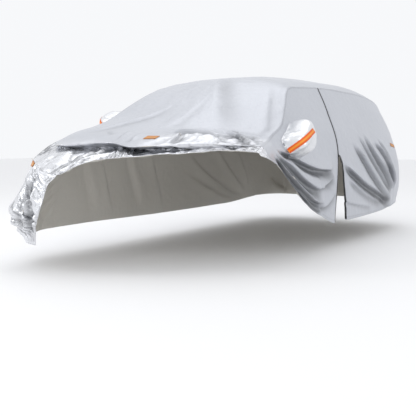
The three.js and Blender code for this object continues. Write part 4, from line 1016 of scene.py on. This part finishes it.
# ---------- mirror pockets ----------
def pocket_cloth(side):
    """A rounded pocket over a door mirror, rising from its mouth in the side panel."""
    pocket, panel = POCKETS[side], PANELS[side]
    angles = np.linspace(0, 2 * math.pi, POD_SIDES + 1)
    cos, sin = np.cos(angles), np.sin(angles)
    rounded = lambda values: np.sign(values) * np.abs(values) ** POD_ROUNDING["mouth"]
    along = pocket["along"] - pocket["sections_wide"] * rounded(cos)
    down = pocket["down"] - pocket["share_high"] * rounded(sin) * (1 - pocket["droop"] * cos)
    rough = folded(panel["form"], panel["tables"], panel["off_edge"], down[None], along[None],
                   panel["turned"])[0][0] + SHIFT
    found = [TREES[side].find_nearest(Vector(place)) for place in rough]
    mouth = np.array([hit[0] for hit in found])
    up = np.array([hit[1] for hit in found])
    mouth[-1], up[-1] = mouth[0], up[0]
    middle, out = mouth[:-1].mean(0), unit(up[:-1].mean(0))
    lean = out * pocket["depth"] + np.array(pocket["lean"])
    rings = [mouth - up * POD_TUCK, mouth, mouth + up * POD_COLLAR]
    shares = np.linspace(0, 1, POD_RINGS)[1:]
    for share in shares:
        angle = share * math.pi / 2
        radius = math.cos(angle) ** POD_ROUNDING["radius"]
        height = math.sin(angle) ** POD_ROUNDING["height"]
        rings.append(middle + (mouth - middle) * radius + lean * height)
    points = np.array(rings)
    share = np.concatenate([[0, 0, 0], shares])[:, None] * np.ones_like(angles)
    flat = points.reshape(-1, 3)
    normals = grid_normals(points, not panel["turned"])
    own = flat[:, 1:] + POD_SLANT * flat[:, :1]
    crushed = sum(height * creased(own, *size) for height, *size in POD_CRUSH)
    pulled = POD_PULL["height"] * np.exp(-(share / POD_PULL["up"]) ** 2)
    pulled = pulled * np.sin(POD_PULL["around"] * angles + 2 * np.sin(POD_PULL["uneven"] * angles))
    rise = (crushed.reshape(share.shape) + pulled) * smooth(share / POD_CALM)
    rise = rise - rise[-1:].mean() * smooth((share - POD_TOP) / POD_TOP_OVER)
    rise[:, -1] = rise[:, 0]
    rise[-1] = 0
    points = points + normals * rise[..., None]
    uv = np.stack([lengths(points, 1), lengths(points, 0)], 2)
    foil = np.full(share.shape, POD_FOIL)
    stitch = line_at(lengths(points, 0), POD_STITCH)
    mesh = grid_mesh(f"mirror_pocket_cloth_{side}", points, uv, not panel["turned"], around=True,
                     attributes=[("foil", foil), ("stitch", stitch), ("shade", 0 * foil)])
    return placed(mesh, [POCKET_SILVER, LINING], [f"mirror_pocket_{side}"], SHEET)


PODS = {f"pod_{side}": pocket_cloth(side) for side in POCKETS}
TREES.update({name: tree_of(piece) for name, piece in PODS.items()})


# ---------- reflective strips ----------
def reflective_strip(name, on, at, along, facing, size):
    """Tape laid on the cloth, seen square on from its facing."""
    facing = Vector(facing).normalized()
    along = Vector(along)
    along = (along - facing * along.dot(facing)).normalized()
    up = facing.cross(along)
    middle = Vector(np.array(at) + SHIFT)
    columns, rows = (math.ceil(length / STRIP_PITCH) + 1 for length in size)
    points = np.zeros((columns, rows, 3))
    missed = np.zeros((columns, rows), bool)
    for i, a in enumerate(np.linspace(-0.5, 0.5, columns)):
        for j, b in enumerate(np.linspace(-0.5, 0.5, rows)):
            start = middle + along * (a * size[0]) + up * (b * size[1]) + facing * STRIP_REACH
            hit, normal, _, _ = TREES[on].ray_cast(start, -facing, 2 * STRIP_REACH)
            missed[i, j] = hit is None
            points[i, j] = (hit + normal * STRIP_OFF) if hit else start
    for _ in range(STRIP_SMOOTHINGS):
        points[1:-1] = (points[:-2] + 2 * points[1:-1] + points[2:]) / 4
        points[0], points[-1] = 2 * points[1] - points[2], 2 * points[-2] - points[-3]
    points += np.array(facing) * STRIP_STAND
    uv = np.stack(np.meshgrid(np.linspace(0, size[0] / size[1], columns), np.linspace(0, 1, rows),
                              indexing="ij"), 2)
    mesh = grid_mesh(name + "_tape", points, uv, hole=missed, drop_touching=True)
    tape = ORANGE if on.startswith("pod") else AMBER
    placed(mesh, [tape], [name], STRIP_THICK)


for strip in STRIPS:
    reflective_strip(**strip)


# ---------- the zip ----------
def resampled(panel, row, depth_row, shares):
    """An edge's places at shares of the way down, with the normal and the way off the edge there."""
    across = panel["across"][row]
    pick = lambda values: np.stack([np.interp(shares, across, values[:, k]) for k in range(3)], 1)
    edge, inside = pick(panel["points"][row]), pick(panel["points"][depth_row])
    return edge, unit(pick(panel["normals"][row])), unit(edge - inside)


def in_from(panel, row, distance, shares):
    """Places on a panel at a distance in from its edge row, a little clear of its cloth."""
    points = panel["points"] + panel["normals"] * TAPE_CLEAR
    points = points if row == 0 else points[::-1]
    run = lengths(points, 0)
    places = np.array([[np.interp(distance, run[:, k], points[:, k, n]) for n in range(3)]
                       for k in range(points.shape[1])])
    return np.stack([np.interp(shares, panel["across"][row], places[:, n]) for n in range(3)], 1)


def tape_between(name, replaced, lines):
    """Woven tape through lines of places, from one edge to the other."""
    points = np.array(lines).transpose(1, 0, 2)
    uv = np.stack([lengths(points, 0), lengths(points, 1)], 2)
    placed(grid_mesh(name, points, uv, turned=True), [TAPE], [replaced], ZIP_TAPE_THICK)


def teeth_along(name, places, normals, ways, gap_side):
    """Moulded teeth standing on the edge of a tape; gap_side shifts every other one across."""
    bm = bmesh.new()
    run = np.concatenate([[0], np.cumsum(np.linalg.norm(np.diff(places, axis=0), axis=1))])
    for k, at in enumerate(np.arange(TOOTH_PITCH, run[-1], TOOTH_PITCH)):
        pick = lambda values: Vector([np.interp(at, run, values[:, n]) for n in range(3)])
        place, out, across = pick(places), pick(normals).normalized(), pick(ways).normalized()
        side = gap_side * (1 if k % 2 else -1)
        axes = Matrix((across, out.cross(across), out)).transposed().to_4x4()
        axes.translation = place + across * side + out * (ZIP_TAPE_THICK / 2)
        bmesh.ops.create_cube(bm, size=1, matrix=axes @ Matrix.Diagonal((*TOOTH, 1)))
    placed(finished(bm, name), [TEETH])


def zip_pieces():
    shares = np.linspace(ZIP_TOP, ZIP_OPEN_AT, CLOSED_ROWS)
    rear, rear_out, rear_way = resampled(LEFT_REAR, -1, -2, shares)
    front, front_out, front_way = resampled(LEFT_FRONT, 0, 1, shares)
    out = unit(rear_out + front_out)
    lines = [rear - rear_way * TAPE_UNDER - out * SHEET]
    lines += [rear + (front - rear) * s + out * ZIP_RISE * math.sin(math.pi * s) for s in ZIP_LINES]
    lines += [front - front_way * TAPE_UNDER - out * SHEET]
    tape_between("zip_tape_closed", "zip_closed", lines)
    middle = (rear + front) / 2 + out * ZIP_RISE
    teeth_along("zip_teeth_closed", middle, out, unit(front - rear), TOOTH[0] / 4)

    shares = np.linspace(ZIP_OPEN_AT + ZIP_GAP, ZIP_FOOT, PARTED_ROWS)
    for name, panel, rows in (("rear", LEFT_REAR, (-1, -2)), ("front", LEFT_FRONT, (0, 1))):
        edge, out, way = resampled(panel, *rows, shares)
        far = edge + way * (ZIP_WIDTH / 2)
        if name == "rear":
            lines = [in_from(panel, -1, inset, shares) for inset in TAPE_OVER] + [far]
        else:
            lines = [far, edge - out * SHEET / 2, edge - way * TAPE_UNDER - out * SHEET]
        tape_between(f"zip_tape_{name}_cloth", f"zip_tape_{name}", lines)
        teeth_along(f"zip_teeth_{name}", far, out, way, 0.0)
    slider_piece()


def slider_piece():
    """The slider where the zip parts, with its pull tab hanging from it."""
    share = np.array([ZIP_OPEN_AT, ZIP_OPEN_AT + SLIDER_OVER])
    rear, out, _ = resampled(LEFT_REAR, -1, -2, share)
    front, _, way = resampled(LEFT_FRONT, 0, 1, share)
    top, low = (rear + front) / 2
    out, down = Vector(out[0]), Vector(low - top).normalized()
    across = down.cross(out).normalized()
    axes = Matrix((across, down, across.cross(down))).transposed().to_4x4()
    if axes.to_3x3().col[2].dot(out) < 0:
        axes = axes @ Matrix.Rotation(math.pi, 4, "Y")
    bm = bmesh.new()
    for size, at in SLIDER_PARTS:
        place = axes.copy()
        place.translation = Vector(top) + axes.to_3x3() @ Vector(at)
        made = bmesh.ops.create_cube(bm, size=1, matrix=place @ Matrix.Diagonal((*size, 1)))
        edges = {edge for vertex in made["verts"] for edge in vertex.link_edges}
        bmesh.ops.bevel(bm, geom=list(edges), offset=min(size) * SLIDER_ROUND, segments=3, profile=0.5,
                        affect="EDGES", material=-1)
    for face in bm.faces:
        face.smooth = True
    placed(finished(bm, "zip_slider_metal"), [PULL], ["zip_slider"])


zip_pieces()


# ---------- floor, lights and camera ----------
def studio():
    bm = bmesh.new()
    bmesh.ops.create_grid(bm, x_segments=1, y_segments=1, size=FLOOR_SIZE / 2)
    bmesh.ops.translate(bm, verts=bm.verts, vec=(0, 0, SHIFT[2]))
    floor = shown("floor", finished(bm, "floor"))
    floor.data.materials.append(surface_material("floor", Base_Color=FLOOR_TONE, Roughness=FLOOR_ROUGH)[0])

    bpy.context.scene.view_settings.view_transform = "Standard"
    world = bpy.data.worlds.new("studio")
    bpy.context.scene.world = world
    world.use_nodes = True
    background = world.node_tree.nodes["Background"]
    background.inputs["Color"].default_value = WORLD_TONE
    background.inputs["Strength"].default_value = WORLD_LIGHT

    for name, place, target, size, power in LAMPS:
        lamp = bpy.data.lights.new(name, "AREA")
        lamp.shape = "RECTANGLE"
        lamp.size, lamp.size_y = size
        lamp.energy = power
        away = (Vector(place) - Vector(target)).to_track_quat("Z", "Y")
        shown(name, lamp).matrix_world = Matrix.Translation(place) @ away.to_matrix().to_4x4()


def camera():
    azimuth, elevation, roll = (math.radians(angle) for angle in VIEW)
    back = Vector((math.sin(azimuth) * math.cos(elevation), -math.cos(azimuth) * math.cos(elevation),
                   math.sin(elevation)))
    right = Vector((math.cos(azimuth), math.sin(azimuth), 0))
    axes = Matrix((right, back.cross(right), back)).transposed() @ Matrix.Rotation(roll, 3, "Z")
    data = bpy.data.cameras.new("camera")
    data.lens, data.sensor_width = LENS, SENSOR
    data.shift_x, data.shift_y = FRAMING
    data.clip_end = FAR_OFF
    eye = shown("camera", data)
    eye.matrix_world = Matrix.Translation(EYE) @ axes.to_4x4()
    bpy.context.scene.camera = eye


studio()
camera()
bpy.context.view_layer.update()
